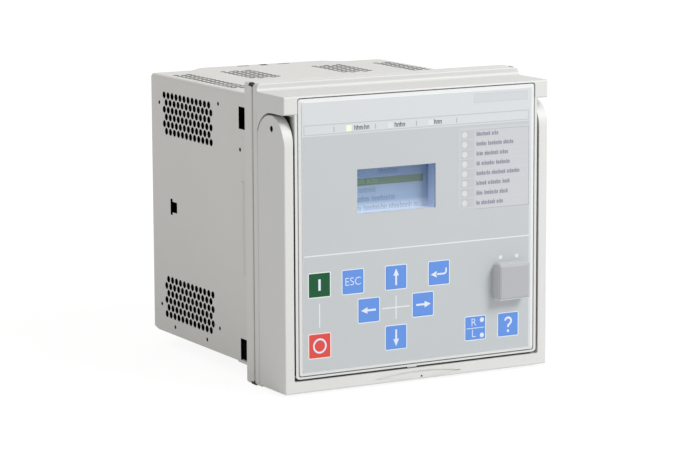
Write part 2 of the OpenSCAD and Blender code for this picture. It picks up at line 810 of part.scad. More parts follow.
// Handle: a bail with two round-ended arms and a bar with a finger scoop
scoop_w = 58;
scoop_h = 4.6;
module arm_side() {
    difference() {
        union() {
            rounded(front_y, arm_rear, bar_low, arm_rise, 1);
            translate([arm_mid, arm_rise]) circle(arm_r, $fn = 96);
            translate([front_y, arm_rise - 3]) square([arm_rear - front_y, 3]);
        }
        translate([pivot_y, pivot_z]) circle(pivot_dia / 2 + turn_gap);
    }
}
module lens(w, h) {
    r = (w * w + h * h) / (4 * h);
    intersection() {
        translate([0, h / 2 - r]) circle(r, $fn = 180);
        translate([0, r - h / 2]) circle(r, $fn = 180);
    }
}
module handle() {
    inner = bhw - arm_t;
    scoop_z = bar_low + 0.5 + scoop_h / 2;
    core_w = 46;
    core_step = core_w + 6;
    seal_hole = [2.1, 1.6];
    color("whitesmoke") difference() {
        intersection() {
            side_slab(-bhw, bhw) arm_side();
            front_slab(front_y, arm_rear) difference() {
                rounded(-bhw, bhw, bar_low, arm_top + past, 0.9);
                rounded(-inner, inner, bar_top, arm_top + 5, 1.2);
            }
            plan_slab(bar_low, arm_top + past) rounded(-bhw, bhw, front_y, arm_rear, 0.9);
        }
        front_slab(front_y - past, front_y + 0.6) translate([0, scoop_z]) lens(scoop_w, scoop_h);
        rod_y(seal_hole.x, bar_low + seal_hole.y, 0.7, front_y - past, front_y + 6);
        // Room for the nub behind the bar's front edge
        block([nub_x - nub_w / 2 - 1, front_y + 2.6, bar_top - 0.9],
            [nub_x + nub_w / 2 + 1, arm_rear + past, bar_top + past]);
        // Cored out from behind between ribs
        for (i = [-1, 0, 1]) translate([i * core_step, 0, 0])
            block([-core_w / 2, front_y + 5, bar_low + 2], [core_w / 2, arm_rear + past, bar_top - 2.2]);
    }
}

// Chassis: two side plates and a rear plate that carries the plugs
module chassis_plate() {
    front_end = skirt_y - 12;
    window_front = 24;
    window_low = 10;
    window_rim = 18;
    // Corner notch that keeps clear of a bracket in its slot
    notch_front = slot_y - 3;
    notch_w = slot_w + 5;
    notch_h = 9;
    difference() {
        side_slab(-chassis_x, -chassis_x + chassis_t) difference() {
            rounded(front_end, unit_back, -chassis_hh, chassis_hh, 3);
            for (flip = [0, 1]) mirror([0, flip]) {
                rounded(window_front, unit_back - window_rim, window_low, chassis_hh - window_rim, 4);
                translate([notch_front, chassis_hh - notch_h]) square([notch_w, notch_h + past]);
            }
        }
        for (p = chassis_front_places)
            rod_x(p.x, p.y, screw_r + turn_gap, -chassis_x - past, -chassis_x + chassis_t + past);
    }
}
module chassis_left() {
    color("lightgray") chassis_plate();
}
module chassis_right() {
    color("lightgray") mirror([1, 0, 0]) chassis_plate();
}
module chassis_rear() {
    inner = chassis_x - chassis_t;
    rear_hh = chassis_hh - 4;
    edge_d = 12;
    edge_hh = rear_hh - 4;
    color("lightgray") difference() {
        union() {
            block([-inner, unit_back - chassis_t, -rear_hh], [inner, unit_back, rear_hh]);
            both_sides() block([-inner, unit_back - edge_d, -edge_hh],
                [-inner + chassis_t, unit_back - chassis_t / 2, edge_hh]);
        }
        for (x = board_xs) block([x - plug_w / 2 - plug_gap, 0, -plug_h / 2 - plug_gap],
            [x + plug_w / 2 + plug_gap, unit_back + past, plug_h / 2 + plug_gap]);
    }
}
chassis_head = 1.9;
module chassis_screws() {
    color("gray") both_sides() for (p = chassis_front_places) difference() {
        union() {
            rod_x(p.x, p.y, 2.7, -chassis_x + chassis_t, -chassis_x + chassis_t + chassis_head);
            rod_x(p.x, p.y, screw_r, -skirt_hw, -chassis_x + chassis_t + chassis_head / 2);
        }
        rod_x(p.x, p.y, 1.2, -chassis_x + chassis_t + chassis_head / 2,
            -chassis_x + chassis_t + chassis_head + past);
    }
}

// Circuit boards stand on edge, and what they carry sits on their faces
module board(x) {
    block([x - board_t / 2, board_front, -board_hh], [x + board_t / 2, board_back, board_hh]);
}
module transformer_board() {
    color("seagreen") board(current_x);
}
module cpu_board() {
    color("seagreen") board(signal_xs[0]);
}
module io_board() {
    color("seagreen") board(signal_xs[1]);
}
// Links from the front board to the boards behind it
module board_links() {
    color("black") for (x = board_xs) eased([x - 4, hmi_y + board_t, -28], [x + 4, board_front, 28], 0.5);
}
// Plugs on the boards' rear edges, which enter the case's sockets
plug_rim = 2;
module plug(x) {
    block([x - plug_w / 2, board_back, -plug_h / 2], [x + plug_w / 2, plug_y, plug_h / 2]);
    block([x - plug_w / 2 - plug_rim, board_back, -plug_h / 2 - plug_rim],
        [x + plug_w / 2 + plug_rim, unit_back - chassis_t, plug_h / 2 + plug_rim]);
}
module current_plug() {
    color("dimgray") plug(current_x);
}
module signal_plugs() {
    color("darkgreen") for (x = signal_xs) plug(x);
}
// Matching transformers: a wound bobbin in a laminated core
module input_transformers() {
    base = current_x - board_t / 2;
    bay = (board_back - board_front) / 3.2;
    color("saddlebrown") for (i = [0, 1, 2], z = [-26, 26])
        translate([base, board_front + bay * (i + 0.62), z]) {
        eased([-24, -9, -20], [0, 9, 20], 1);
        eased([-20, -13, -11], [-3, 13, 11], 2.5);
    }
}
module cpu_chips() {
    base = signal_xs[0] + board_t / 2;
    // Each chip's place along and up the board, its length and its height
    chips = [[50, 0, 28, 28], [86, 22, 20, 14], [86, -8, 20, 14], [86, -36, 24, 10], [48, 40, 10, 18]];
    color("black") for (c = chips) translate([base, board_front + c[0], c[1]])
        eased([0, -c[2] / 2, -c[3] / 2], [2.4, c[2] / 2, c[3] / 2], 0.4);
}
module output_relays() {
    base = signal_xs[1] + board_t / 2;
    pitch = 16.5;
    count = floor((2 * board_hh - 10) / pitch);
    color("navy") for (i = [0 : count - 1]) translate([base, board_back - 5, (i - (count - 1) / 2) * pitch])
        eased([0, -29, -6.5], [15.5, 0, 6.5], 0.6);
}
module power_transformer() {
    base = signal_xs[1] + board_t / 2;
    color("goldenrod") translate([base, board_front + 24, -30]) {
        eased([0, -16, -14], [22, 16, 14], 1);
        eased([3, -11, -19], [19, 11, 19], 3);
    }
}
module capacitors() {
    base = signal_xs[1] + board_t / 2;
    color("midnightblue") for (p = [[14, 10, 8], [34, 10, 8], [14, 32, 6], [30, 32, 6]])
        rod_x(board_front + p[0], p[1], p[2], base, base + 25);
}

case_wrap();
case_floor();
case_back();
case_frame();
frame_seal();
guide_rails();
current_terminals();
current_terminal_screws();
signal_terminals();
signal_terminal_screws();
back_screws();
earth_screw();
earth_washer();
bezel();
front_plate();
front_film();
display_window();
display_module();
label_card();
status_lenses();
alarm_lenses();
leds();
hmi_board();
key_switches();
hmi_spacers();
hmi_screws();
port_socket();
port_lenses();
handle_pins();
chassis_left();
chassis_right();
chassis_rear();
chassis_screws();
transformer_board();
input_transformers();
cpu_board();
cpu_chips();
io_board();
output_relays();
power_transformer();
capacitors();
board_links();
current_plug();
signal_plugs();
handle();
port_cover();
key_close();
key_open();
key_escape();
key_up();
key_left();
key_right();
key_down();
key_enter();
key_remote();
key_help();
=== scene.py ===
"""Looks of a flush-mounted protection relay: finishes, prints on its front, and a stage."""
import math
from functools import cached_property

import bmesh
import bpy
from bpy.props import FloatProperty, FloatVectorProperty, PointerProperty
from mathutils import Matrix, Vector


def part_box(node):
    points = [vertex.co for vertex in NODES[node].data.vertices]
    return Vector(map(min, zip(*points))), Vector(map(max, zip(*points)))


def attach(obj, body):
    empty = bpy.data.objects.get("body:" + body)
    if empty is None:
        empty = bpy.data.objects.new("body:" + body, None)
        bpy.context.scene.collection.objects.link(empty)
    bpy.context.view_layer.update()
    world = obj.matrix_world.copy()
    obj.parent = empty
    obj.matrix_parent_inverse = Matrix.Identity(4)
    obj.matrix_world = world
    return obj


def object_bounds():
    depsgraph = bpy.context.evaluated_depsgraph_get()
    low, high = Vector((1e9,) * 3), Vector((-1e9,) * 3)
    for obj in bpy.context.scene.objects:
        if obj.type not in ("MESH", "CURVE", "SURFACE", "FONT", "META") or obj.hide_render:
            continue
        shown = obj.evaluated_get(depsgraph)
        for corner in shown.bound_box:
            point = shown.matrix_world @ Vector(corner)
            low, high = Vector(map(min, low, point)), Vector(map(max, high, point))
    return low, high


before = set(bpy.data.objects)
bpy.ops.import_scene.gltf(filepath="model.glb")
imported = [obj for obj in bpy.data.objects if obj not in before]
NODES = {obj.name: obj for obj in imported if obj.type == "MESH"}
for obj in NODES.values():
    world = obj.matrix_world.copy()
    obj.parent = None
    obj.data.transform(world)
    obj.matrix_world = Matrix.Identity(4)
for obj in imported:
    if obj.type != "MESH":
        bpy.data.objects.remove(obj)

bl_info = {
    "name": "Protection Relay",
    "version": (1, 0, 0),
    "blender": (4, 5, 0),
    "location": "View3D > Sidebar > Relay",
    "description": "Finishes, prints and stage of a flush-mounted protection relay",
    "category": "Object",
}

CAD_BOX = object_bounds()
MM = 0.001
BLACK = (0.0, 0.0, 0.0)
WHITE = (1.0, 1.0, 1.0)

# Stage, in metres
FLOOR_REACH = 14.0
FLOOR_DROP = 0.0003  # below the relay
FAR = 100.0  # how far the camera sees
LAMP_PLACE = (1.36, -1.87, 1.94)
LAMP_SIZE = 1.44

# Stage: colours, shares and the camera's sensor in millimetres
LAMP_TINT = (0.98, 0.99, 1.0)
WORLD_TINT = (1.0, 0.988, 0.968)
FLOOR_GLOW = 1.12
SHADOW_SHARE = 0.2
SENSOR = 36.0

# Sheet case: from here on, lengths are millimetres
BEAD = 0.8  # relief of the bead on its left side
SKIN = 0.04  # depth from the sheet's outer face where its painted shade begins
SHEET = 1.1  # a little less than the sheet's thickness
FOLD = 2.4  # outer radius of a fold
MOUTH = 0.2  # where the painted shade inside begins behind the panel
FLOOR_RISE = 1.9  # where it begins above the case's lower edge
TAB_SLOTS = 20.0  # half of the width that the rear tab's slots take up
TAB_EDGE = 0.4  # edge of the rear tab where the painted shade in its slots stops

# Side vents
VENT_PITCH = 5.57  # between holes in a row
VENT_ROW = 4.43  # between rows
VENT_COLUMNS = 12
VENT_ROWS = 6
VENT_DOWN = 11.8  # from the top of the case to the first row
VENT_BACK = 18.1  # from the rear of the case to the last hole in that row
VENT_RIM = 2.17  # radius of a hole with its rim of painted shade

# Handle, and the painted shade in the gap round its inside
ARM = 6.0
ARM_GAP = 1.3
BAR = 7.0
BAR_GAP = 1.2
GAP_OVERLAP = 0.02
GAP_DEPTH = 4.0
GAP_FADE = 0.4  # share of that depth over which the painted shade fades out at its end
WEDGE_DEPTH = 1.5  # how many such depths it takes to reach full painted shade beside the pivots
LIP_FRONT = -47.2
PIVOT_LOW = 60.0  # height where the pivots' stretch of the gap begins
PIVOT_FADE = 6.0  # how far below that height the two kinds of painted shade blend
PIVOT_HOLE = 3.6

# Port cover
COVER_FACE = 0.8  # depth of its grained face
COVER_EDGE = 1.2  # height of the painted highlight along its lower edge
SIDE_SHARE = 0.33  # how much of the painted light its sides have

# Fields on the film: left, right, low and high edges
STRIP = (-75.7, 74.9, 61.1, 67.0)
TYPE_FIELD = (36.8, 73.6, 73.1, 78.4)
ALARM_FIELD = (26.8, 75.1, 12.4, 58.8)

# Other prints on the film
HEADER_LOW = 60.4
FILM_RIGHT = 75.1  # where the pale right margin begins
FILM_RIM = 0.02  # cut edge of the film, painted near white as painted light on its step
DIVIDER = (-76.0, 75.2, -8.0)  # left end, right end and height
STRIP_LINE = 0.5
CROSS_HIGH = 6.9  # half the length of the upright lines between the keys
CROSS_WIDE = 9.2  # half the length of the level line between the keys
PORT_DOTS = (-5.8, 5.5)  # beside the middle of the port
PORT_DOT_RISE = 14.1
PORT_DOT_RADIUS = 1.2
TICK_BACK = 9.7  # from a status lens to the tick on its left
TICK_WIDE = 0.3  # half of a tick's width
TICK_HIGH = 1.4  # half of a tick's height

# Cells of the alarm lenses
ALARMS = 8
CELL_LEFT = 2.8
CELL_RIGHT = 6.3
CELL_ABOVE = 0.54  # share of a cell above the middle of its lens

# Display, whose rows fill the well behind the window
DISPLAY_LOW = 13.0
DISPLAY_HIGH = 39.0
DISPLAY_RIGHT = 9.4  # where its darker margin begins
ROW_HEIGHT = 5.2
ROW_BASE = 0.78  # share of a row above the foot of its marks
CHOSEN_ROW = 1  # counted from 0 at the top
BAR_RIGHT = 7.4
BAR_HEIGHT = 4.3
DOT_PITCH = 0.55
WELL_MARGIN = 2.0

# Rows of plain marks: their height, and the gap before a row and its width
STATUS_MARK = 2.8
STATUS_DROP = 1.3  # from the middle of a lens to the foot of its marks
STATUS_ROWS = ((3.6, 10.5), (3.0, 7.6), (2.2, 5.5))
LABEL_MARK = 2.6
LABEL_INSET = 1.4
LABEL_BASE = 0.6  # share of a row above the foot of its marks
LABEL_RULE = 0.15  # half of a rule's width
LABEL_WIDTHS = (14.9, 26.0, 21.7, 24.0, 31.0, 22.9, 22.4, 18.9)
DISPLAY_MARK = 3.2
DISPLAY_INSET = 1.6
DISPLAY_ROWS = ((18, 14), (0, 18), (0, 17), (0, 31), (0, 46))

# Keys
PAD_SIZE = 13.5
RIM_GAP = 0.12  # film between a key and its pale border
RIM_CORNER = 0.7
HEAD = 1.9  # half of an arrow's head
SHARPEST_MITRE = 0.3  # keeps the sharp corners of a stroke short
MENU_KEYS = ("key_escape", "key_up", "key_left", "key_right", "key_down", "key_enter", "key_remote",
             "key_help")


def middle(node):
    """Middle of a node's box."""
    low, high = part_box(node)
    return (low + high) / 2


def srgb(red, green, blue):
    """Linear colour of an 8-bit screen colour."""
    def linear(level):
        share = level / 255
        return share / 12.92 if share <= 0.04045 else ((share + 0.055) / 1.055) ** 2.4
    return tuple(linear(level) for level in (red, green, blue))


def shade(tint, factor):
    """Colour made darker or lighter by a factor."""
    return tuple(min(1.0, level * factor) for level in tint)


def colour(name, description, *levels):
    """Colour property with an 8-bit screen colour as its default."""
    return FloatVectorProperty(name=name, description=description, subtype="COLOR", size=3,
                               min=0.0, max=1.0, default=srgb(*levels))


def length(name, description, millimetres, **limits):
    """Length property with a default in millimetres."""
    return FloatProperty(name=name, description=description, unit="LENGTH",
                         default=millimetres * MM, **limits)


def angle(name, description, degrees):
    """Angle property with a default in degrees."""
    return FloatProperty(name=name, description=description, subtype="ANGLE",
                         default=math.radians(degrees))


class RelayColours(bpy.types.PropertyGroup):
    """Colours of the relay's finishes and prints."""
    case: colour("Case", "Powder coat of the sheet case and the frame", 209, 208, 205)
    bezel: colour("Bezel", "Moulded plastic of the bezel and the handle", 206, 206, 204)
    plate: colour("Plate", "Moulded plate behind the film", 211, 213, 213)
    film: colour("Film", "Main field of the printed film", 180, 184, 186)
    header: colour("Header", "Field above the status strip", 200, 203, 205)
    field: colour("Indicator field", "Field behind the alarm lenses and their card", 188, 190, 194)
    line: colour("Lines", "Printed pale lines", 214, 218, 220)
    ink: colour("Ink", "Printed dark marks", 44, 46, 52)
    card_ink: colour("Card ink", "Marks on the label card", 116, 119, 135)
    blue: colour("Blue keys", "Printed field of the menu keys", 95, 138, 210)
    green: colour("Close key", "Printed field of the closing key", 22, 80, 48)
    red: colour("Open key", "Printed field of the opening key", 206, 74, 67)
    cover: colour("Port cover", "Moulded cover of the front port", 166, 167, 171)
    lit: colour("Lit lens", "Light of the lit status lens", 200, 206, 180)
    display_top: colour("Display, top", "Upper rows of the display", 118, 146, 182)
    display_middle: colour("Display, middle", "Middle rows of the display", 134, 155, 181)
    display_low: colour("Display, low", "Lower edge of the display", 196, 209, 224)
    display_bar: colour("Display bar", "Row that marks the chosen entry", 90, 114, 90)


class RelaySizes(bpy.types.PropertyGroup):
    """Sizes of the prints on the front."""
    relief: length("Relief", "Thickness of a print", 0.04, min=0.0)
    line: length("Line", "Width of a printed line", 0.7, min=0.0)
    thin: length("Thin line", "Width of a fine printed line", 0.35, min=0.0)
    edge: length("Key border", "How far the pale border of a key reaches past it", 0.6, min=0.0)
    symbol: length("Symbol", "Stroke of a key's symbol", 1.0, min=0.0)


class RelayStage(bpy.types.PropertyGroup):
    """Camera and light."""
    azimuth: angle("Azimuth", "Direction of the camera round the relay", -29.156)
    elevation: angle("Elevation", "Height of the camera above the horizon", 9.278)
    roll: angle("Roll", "Turn of the camera about its own axis", -0.213)
    distance: length("Distance", "From the camera to the point it looks at", 1692.1, min=0.0)
    aside: length("Aside", "How far the target lies to the right of the origin", -16.598)
    above: length("Above", "How far the target lies above the origin", -4.527)
    lens: FloatProperty(name="Lens", description="Focal length in millimetres", unit="CAMERA",
                        default=146.55)
    ambient: FloatProperty(name="Ambient", description="Strength of the light from all round", default=0.59)
    key_power: FloatProperty(name="Key lamp", description="Power of the lamp", unit="POWER", default=69.0)


class Signal:
    """An output socket that takes part in Python expressions."""

    def __init__(self, paint, socket):
        self.paint = paint
        self.socket = socket

    def __add__(self, other):
        return self.paint.math("ADD", self, other)

    __radd__ = __add__

    def __sub__(self, other):
        return self.paint.math("SUBTRACT", self, other)

    def __rsub__(self, other):
        return self.paint.math("SUBTRACT", other, self)

    def __mul__(self, other):
        return self.paint.math("MULTIPLY", self, other)

    __rmul__ = __mul__

    def __truediv__(self, other):
        return self.paint.math("DIVIDE", self, other)

    def __rtruediv__(self, other):
        return self.paint.math("DIVIDE", other, self)

    def __lt__(self, other):
        return self.paint.math("LESS_THAN", self, other)

    def __gt__(self, other):
        return self.paint.math("GREATER_THAN", self, other)

    def __abs__(self):
        return self.paint.math("ABSOLUTE", self)

    def larger(self, other):
        """The larger of two values."""
        return self.paint.math("MAXIMUM", self, other)

    def clamped(self):
        """The value, held between 0 and 1."""
        return self.paint.math("MINIMUM", self.larger(0.0), 1.0)

    def rounded(self):
        """The nearest whole number."""
        return self.paint.math("ROUND", self)

    def remainder(self, other):
        """What a division leaves over."""
        return self.paint.math("MODULO", self, other)

    def between(self, low, high):
        """Mask of the values between two limits."""
        return (self > low) * (self < high)

    def waves(self, pitch):
        """Sine waves with a pitch in millimetres."""
        return self.paint.math("SINE", self * (math.tau / (pitch * MM)))


class Paint:
    """The nodes of one finish, or of the world."""

    def __init__(self, name, kind="materials"):
        self.owner = getattr(bpy.data, kind).new(name)
        self.owner.use_nodes = True
        self.tree = self.owner.node_tree
        self.tree.nodes.clear()

    def node(self, kind, settings=None, inputs=None, output=0):
        """Adds a node, sets it up, fills its sockets with values or links, and gives its outputs."""
        made = self.tree.nodes.new(kind)
        for name, value in (settings or {}).items():
            if name == "stops":
                self.set_stops(made.color_ramp, value)
            else:
                setattr(made, name, value)
        for name, value in (inputs or {}).items():
            if isinstance(value, Signal):
                self.tree.links.new(value.socket, made.inputs[name])
            else:
                made.inputs[name].default_value = value
        if isinstance(output, tuple):
            return [Signal(self, made.outputs[name]) for name in output]
        return Signal(self, made.outputs[output]) if made.outputs else None

    @staticmethod
    def set_stops(ramp, stops):
        """Sets the places and colours of a ramp."""
        while len(ramp.elements) < len(stops):
            ramp.elements.new(1.0)
        for element, (place, tint) in zip(ramp.elements, stops):
            element.position = place
            element.color = (*tint, 1.0)

    def math(self, operation, *values):
        """Math node on values or outputs."""
        return self.node("ShaderNodeMath", {"operation": operation}, dict(enumerate(values)))

    @cached_property
    def place(self):
        """Coordinates of the piece, which stay with it when it moves."""
        return self.node("ShaderNodeTexCoord", output="Object")

    def axes(self, names="XYZ"):
        """Coordinates along the named axes."""
        return self.node("ShaderNodeSeparateXYZ", {}, {"Vector": self.place}, tuple(names))

    def noise(self, scale, detail=2.0, rough=0.5, stretch=None):
        """Noise with about so many spots to the metre, times the stretch along each axis."""
        vector = self.place
        if stretch:
            vector = self.node("ShaderNodeMapping", {}, {"Vector": vector, "Scale": stretch})
        return self.node("ShaderNodeTexNoise", {}, {"Vector": vector, "Scale": scale, "Detail": detail,
                                                    "Roughness": rough})

    def mix(self, factor, first, second):
        """Colour between two colours."""
        values = {0: factor}
        for index, tint in ((6, first), (7, second)):
            values[index] = tint if isinstance(tint, Signal) else (*tint, 1.0)
        return self.node("ShaderNodeMix", {"data_type": "RGBA"}, values, output=2)

    def ramp(self, factor, *stops):
        """Colour that runs through stops of a place and a colour."""
        return self.node("ShaderNodeValToRGB", {"stops": stops}, {0: factor})

    def bump(self, height, strength, depth):
        """Normal of a relief with a depth in millimetres."""
        return self.node("ShaderNodeBump", {}, {"Height": height, "Strength": strength,
                                                "Distance": depth * MM})

    def surface(self, **sockets):
        """Principled surface: names with underscores stand for the sockets' names."""
        values = {}
        for name, value in sockets.items():
            if isinstance(value, tuple) and len(value) == 3:
                value = (*value, 1.0)
            values[name.replace("_", " ")] = value
        shader = self.node("ShaderNodeBsdfPrincipled", {}, values)
        self.node("ShaderNodeOutputMaterial", {}, {"Surface": shader})
        return self.owner


def wear(material, *nodes):
    """Gives nodes their finish."""
    for node in nodes:
        slots = NODES[node].data.materials
        slots.clear()
        slots.append(material)


def vent_rim_shade(y, z):
    """Mask of the painted shade round the side vents, a dark rim that makes each hole look larger, where
    every second row is moved by half a pitch.
    """
    top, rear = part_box("case_wrap")[1].z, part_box("case_back")[1].y
    down = (top - VENT_DOWN * MM - abs(z)) / (VENT_ROW * MM)
    row = down.rounded()
    along = (y - (rear - VENT_BACK * MM)) / (VENT_PITCH * MM) + 0.5 * row.remainder(2.0)
    column = along.rounded()
    rise = (down - row) * (VENT_ROW * MM)
    run = (along - column) * (VENT_PITCH * MM)
    # Painted shade: a dark ring round each vent hole on the sheet's outer face.
    near = rise * rise + run * run < (VENT_RIM * MM) ** 2
    return near * row.between(-0.5, VENT_ROWS - 0.5) * column.between(0.5 - VENT_COLUMNS, 0.5)


def painted_case_shade(x, y, z):
    """Mask of painted shade in near-black metal: inside the case, in its holes and round its side vents."""
    low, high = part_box("case_wrap")
    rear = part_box("case_back")[1].y
    skin, sheet = SKIN * MM, SHEET * MM
    from_side = -low.x - BEAD * MM - abs(x)
    from_top = high.z - z
    inside = (from_side > skin) * (from_top > skin) * (from_side + from_top > FOLD * MM)
    inside = inside * (z > low.z + FLOOR_RISE * MM) * y.between(MOUTH * MM, rear - sheet)
    slots = (abs(x) < TAB_SLOTS * MM) * y.between(rear + sheet, high.y - TAB_EDGE * MM)
    slots = slots * from_top.between(skin, sheet - skin)
    return inside.larger(slots).larger(vent_rim_shade(y, z) * (from_side < skin))


def coated_sheet(name, tint):
    """Powder coat: fine orange peel, a slight drift of tone, and painted shade in near-black metal inside
    the case, in its holes and round its side vents.
    """
    paint = Paint(name)
    case_shade = painted_case_shade(*paint.axes())
    drift = paint.noise(18.0)
    peel = paint.noise(1500.0)
    grains = paint.noise(5200.0, 1.0)
    base = paint.mix(drift, shade(tint, 0.97), shade(tint, 1.03))
    base = paint.mix(grains * 0.35, base, shade(tint, 0.93))
    # Painted shade: near-black metal inside the case, on the walls of its holes and slots, and round its
    # side vents.
    base = paint.mix(case_shade, base, srgb(14, 14, 15))
    return paint.surface(Base_Color=base, Metallic=case_shade, Roughness=0.40 + 0.14 * peel,
                         Normal=paint.bump(peel + 0.4 * grains, 0.10, 0.2))


def moulded(name, tint, grain=2600.0, depth=0.12, rough=0.42, patch=None, patch_tint=None):
    """Moulded plastic with a fine eroded grain, and another tone where the mask of a patch says; the
    patches here are painted shade and painted light.
    """
    paint = Paint(name)
    drift = paint.noise(25.0)
    pits = paint.noise(grain, rough=0.6)
    base = paint.mix(drift, shade(tint, 0.98), shade(tint, 1.02))
    base = paint.mix(pits * 0.3, base, shade(tint, 0.94))
    if patch:
        # Painted shade or painted light, where the patch's mask says.
        base = paint.mix(patch(*paint.axes()), base, patch_tint)
    return paint.surface(Base_Color=base, Roughness=rough + 0.12 * pits,
                         Normal=paint.bump(pits, depth, 0.2))


def plated_steel(name, tint):
    """Plated metal with faint drawn streaks."""
    paint = Paint(name)
    streaks = paint.noise(1.0, 3.0, stretch=(40.0, 900.0, 40.0))
    spots = paint.noise(160.0, 3.0)
    base = paint.mix(streaks, shade(tint, 0.84), shade(tint, 1.08))
    return paint.surface(Base_Color=base, Metallic=1.0, Roughness=0.32 + 0.2 * spots,
                         Normal=paint.bump(streaks, 0.05, 0.1))


def soft_rubber(name):
    """Black rubber with a dull skin."""
    paint = Paint(name)
    skin = paint.noise(1800.0)
    base = paint.mix(skin, srgb(16, 16, 17), srgb(38, 38, 39))
    return paint.surface(Base_Color=base, Roughness=0.7 + 0.15 * skin, Normal=paint.bump(skin, 0.15, 0.2))


def in_field(x, z, left, right, low, high):
    """Mask of a rectangle on the front, given in millimetres."""
    return x.between(left * MM, right * MM) * z.between(low * MM, high * MM)


def alarm_cells():
    """Edges of the column of cells round the alarm lenses, and the height of one cell."""
    low, high = (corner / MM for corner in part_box("alarm_lenses"))
    across = high.x - low.x
    centre = low.x + across / 2
    pitch = (high.z - low.z - across) / (ALARMS - 1)
    top = high.z - across / 2 + CELL_ABOVE * pitch
    return (centre - CELL_LEFT, centre + CELL_RIGHT, top - ALARMS * pitch, top), pitch


def printed_film(name, colours):
    """Film with its printed fields, a fine velvet texture, and a cut edge painted near white as painted
    light, so its step shows no shade.
    """
    paint = Paint(name)
    x, z = paint.axes("XZ")
    velvet = paint.noise(3800.0, 1.0)
    cloud = paint.noise(14.0)
    base = paint.mix(cloud, shade(colours.film, 0.985), shade(colours.film, 1.015))
    pale = (z > HEADER_LOW * MM).larger(x > FILM_RIGHT * MM)
    base = paint.mix(pale, base, colours.header)
    base = paint.mix(in_field(x, z, *TYPE_FIELD), base, shade(colours.header, 0.93))
    base = paint.mix(in_field(x, z, *ALARM_FIELD), base, colours.field)
    base = paint.mix(in_field(x, z, *alarm_cells()[0]), base, shade(colours.field, 0.9))
    base = paint.mix(velvet * 0.2, base, shade(colours.film, 0.9))
    low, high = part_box("front_film")
    rim = FILM_RIM * MM
    face = x.between(low.x + rim, high.x - rim) * z.between(low.z + rim, high.z - rim)
    # Painted light: the film's cut edge is near white, so its step shows no shade.
    base = paint.mix(face, srgb(250, 250, 250), base)
    return paint.surface(Base_Color=base, Roughness=0.42 + 0.1 * velvet,
                         Normal=paint.bump(velvet, 0.08, 0.1))


def printed_key(name, tint):
    """Key field with the film's velvet texture."""
    paint = Paint(name)
    velvet = paint.noise(3800.0, 1.0)
    base = paint.mix(velvet, shade(tint, 0.96), shade(tint, 1.04))
    return paint.surface(Base_Color=base, Roughness=0.38 + 0.1 * velvet, Specular_IOR_Level=0.2,
                         Normal=paint.bump(velvet, 0.06, 0.1))


def ink(name, tint, rough=0.4):
    """Printed ink: a little uneven."""
    paint = Paint(name)
    speck = paint.noise(2200.0)
    base = paint.mix(speck, shade(tint, 0.95), shade(tint, 1.04))
    return paint.surface(Base_Color=base, Roughness=rough + 0.1 * speck, Specular_IOR_Level=0.2)


def display_tone(paint, colours):
    """Tone of the display: darker rows above, a marked row, and light that fades from its lower edge."""
    x, z = paint.axes("XZ")
    low, high = DISPLAY_LOW * MM, DISPLAY_HIGH * MM
    up = (z - low) / (high - low)
    base = paint.ramp(up, (0.0, shade(colours.display_low, 1.2)), (0.12, colours.display_low),
                      (0.24, shade(colours.display_middle, 1.2)), (0.6, colours.display_middle),
                      (0.78, colours.display_top), (1.0, shade(colours.display_top, 0.95)))
    bar_low = high - (CHOSEN_ROW + 1) * ROW_HEIGHT * MM
    bar = z.between(bar_low, bar_low + BAR_HEIGHT * MM) * (x < BAR_RIGHT * MM)
    base = paint.mix(bar, base, colours.display_bar)
    centre = middle("display_window").x
    across = ((x - centre) / (DISPLAY_RIGHT * MM - centre)).clamped()
    fade = (0.4 * across + 0.2 * (x > DISPLAY_RIGHT * MM)) * up.clamped()
    return paint.mix(fade, base, shade(colours.display_top, 0.2))


def display_glass(name, colours):
    """Liquid crystal panel with its fine dots."""
    paint = Paint(name)
    x, z = paint.axes("XZ")
    dots = x.waves(DOT_PITCH) * z.waves(DOT_PITCH)
    dark = shade(colours.display_top, 0.6)
    base = paint.mix(0.06 + 0.05 * dots, display_tone(paint, colours), dark)
    return paint.surface(Base_Color=base, Roughness=0.25, Emission_Color=base, Emission_Strength=0.1,
                         Coat_Weight=0.3, Coat_Roughness=0.1)


def display_marks(name, colours):
    """Marks on the display, darker than what lies behind them."""
    paint = Paint(name)
    dark = shade(colours.display_top, 0.25)
    base = paint.mix(0.5, display_tone(paint, colours), dark)
    return paint.surface(Base_Color=base, Roughness=0.4, Emission_Color=base, Emission_Strength=0.1,
                         Specular_IOR_Level=0.2)


def moulded_plate(name, colours):
    """Plate behind the film; the walls of its display well get painted light from the display: a bluish
    colour and a faint glow.
    """
    paint = Paint(name)
    x, y, z = paint.axes()
    pits = paint.noise(2600.0)
    low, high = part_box("display_window")
    margin = WELL_MARGIN * MM
    well = x.between(low.x - margin, high.x + margin) * z.between(low.z - margin, high.z + margin)
    well = well * (y > high.y)
    base = paint.mix(pits * 0.3, colours.plate, shade(colours.plate, 0.95))
    # Painted light from the display on the well's walls, in colour and as a glow though they are no lamp.
    glow = paint.ramp((z - low.z) / (high.z - low.z), (0.0, srgb(226, 232, 242)),
                      (0.1, srgb(184, 202, 235)), (1.0, srgb(138, 162, 202)))
    base = paint.mix(well, base, glow)
    return paint.surface(Base_Color=base, Roughness=0.4 + 0.1 * pits, Normal=paint.bump(pits, 0.08, 0.1),
                         Emission_Color=paint.mix(well, BLACK, glow), Emission_Strength=0.15)


def clear_pane(name):
    """Clear window with a trace of haze."""
    paint = Paint(name)
    haze = paint.noise(60.0)
    return paint.surface(Base_Color=srgb(96, 112, 136), Roughness=0.05 + 0.05 * haze, Alpha=0.06, IOR=1.5)


def light_pipe(name, tint):
    """Unlit translucent lens with a frosted face."""
    paint = Paint(name)
    frost = paint.noise(1500.0)
    base = paint.mix(frost, shade(tint, 0.97), shade(tint, 1.03))
    return paint.surface(Base_Color=base, Roughness=0.25 + 0.15 * frost, Coat_Weight=0.4,
                         Coat_Roughness=0.15)


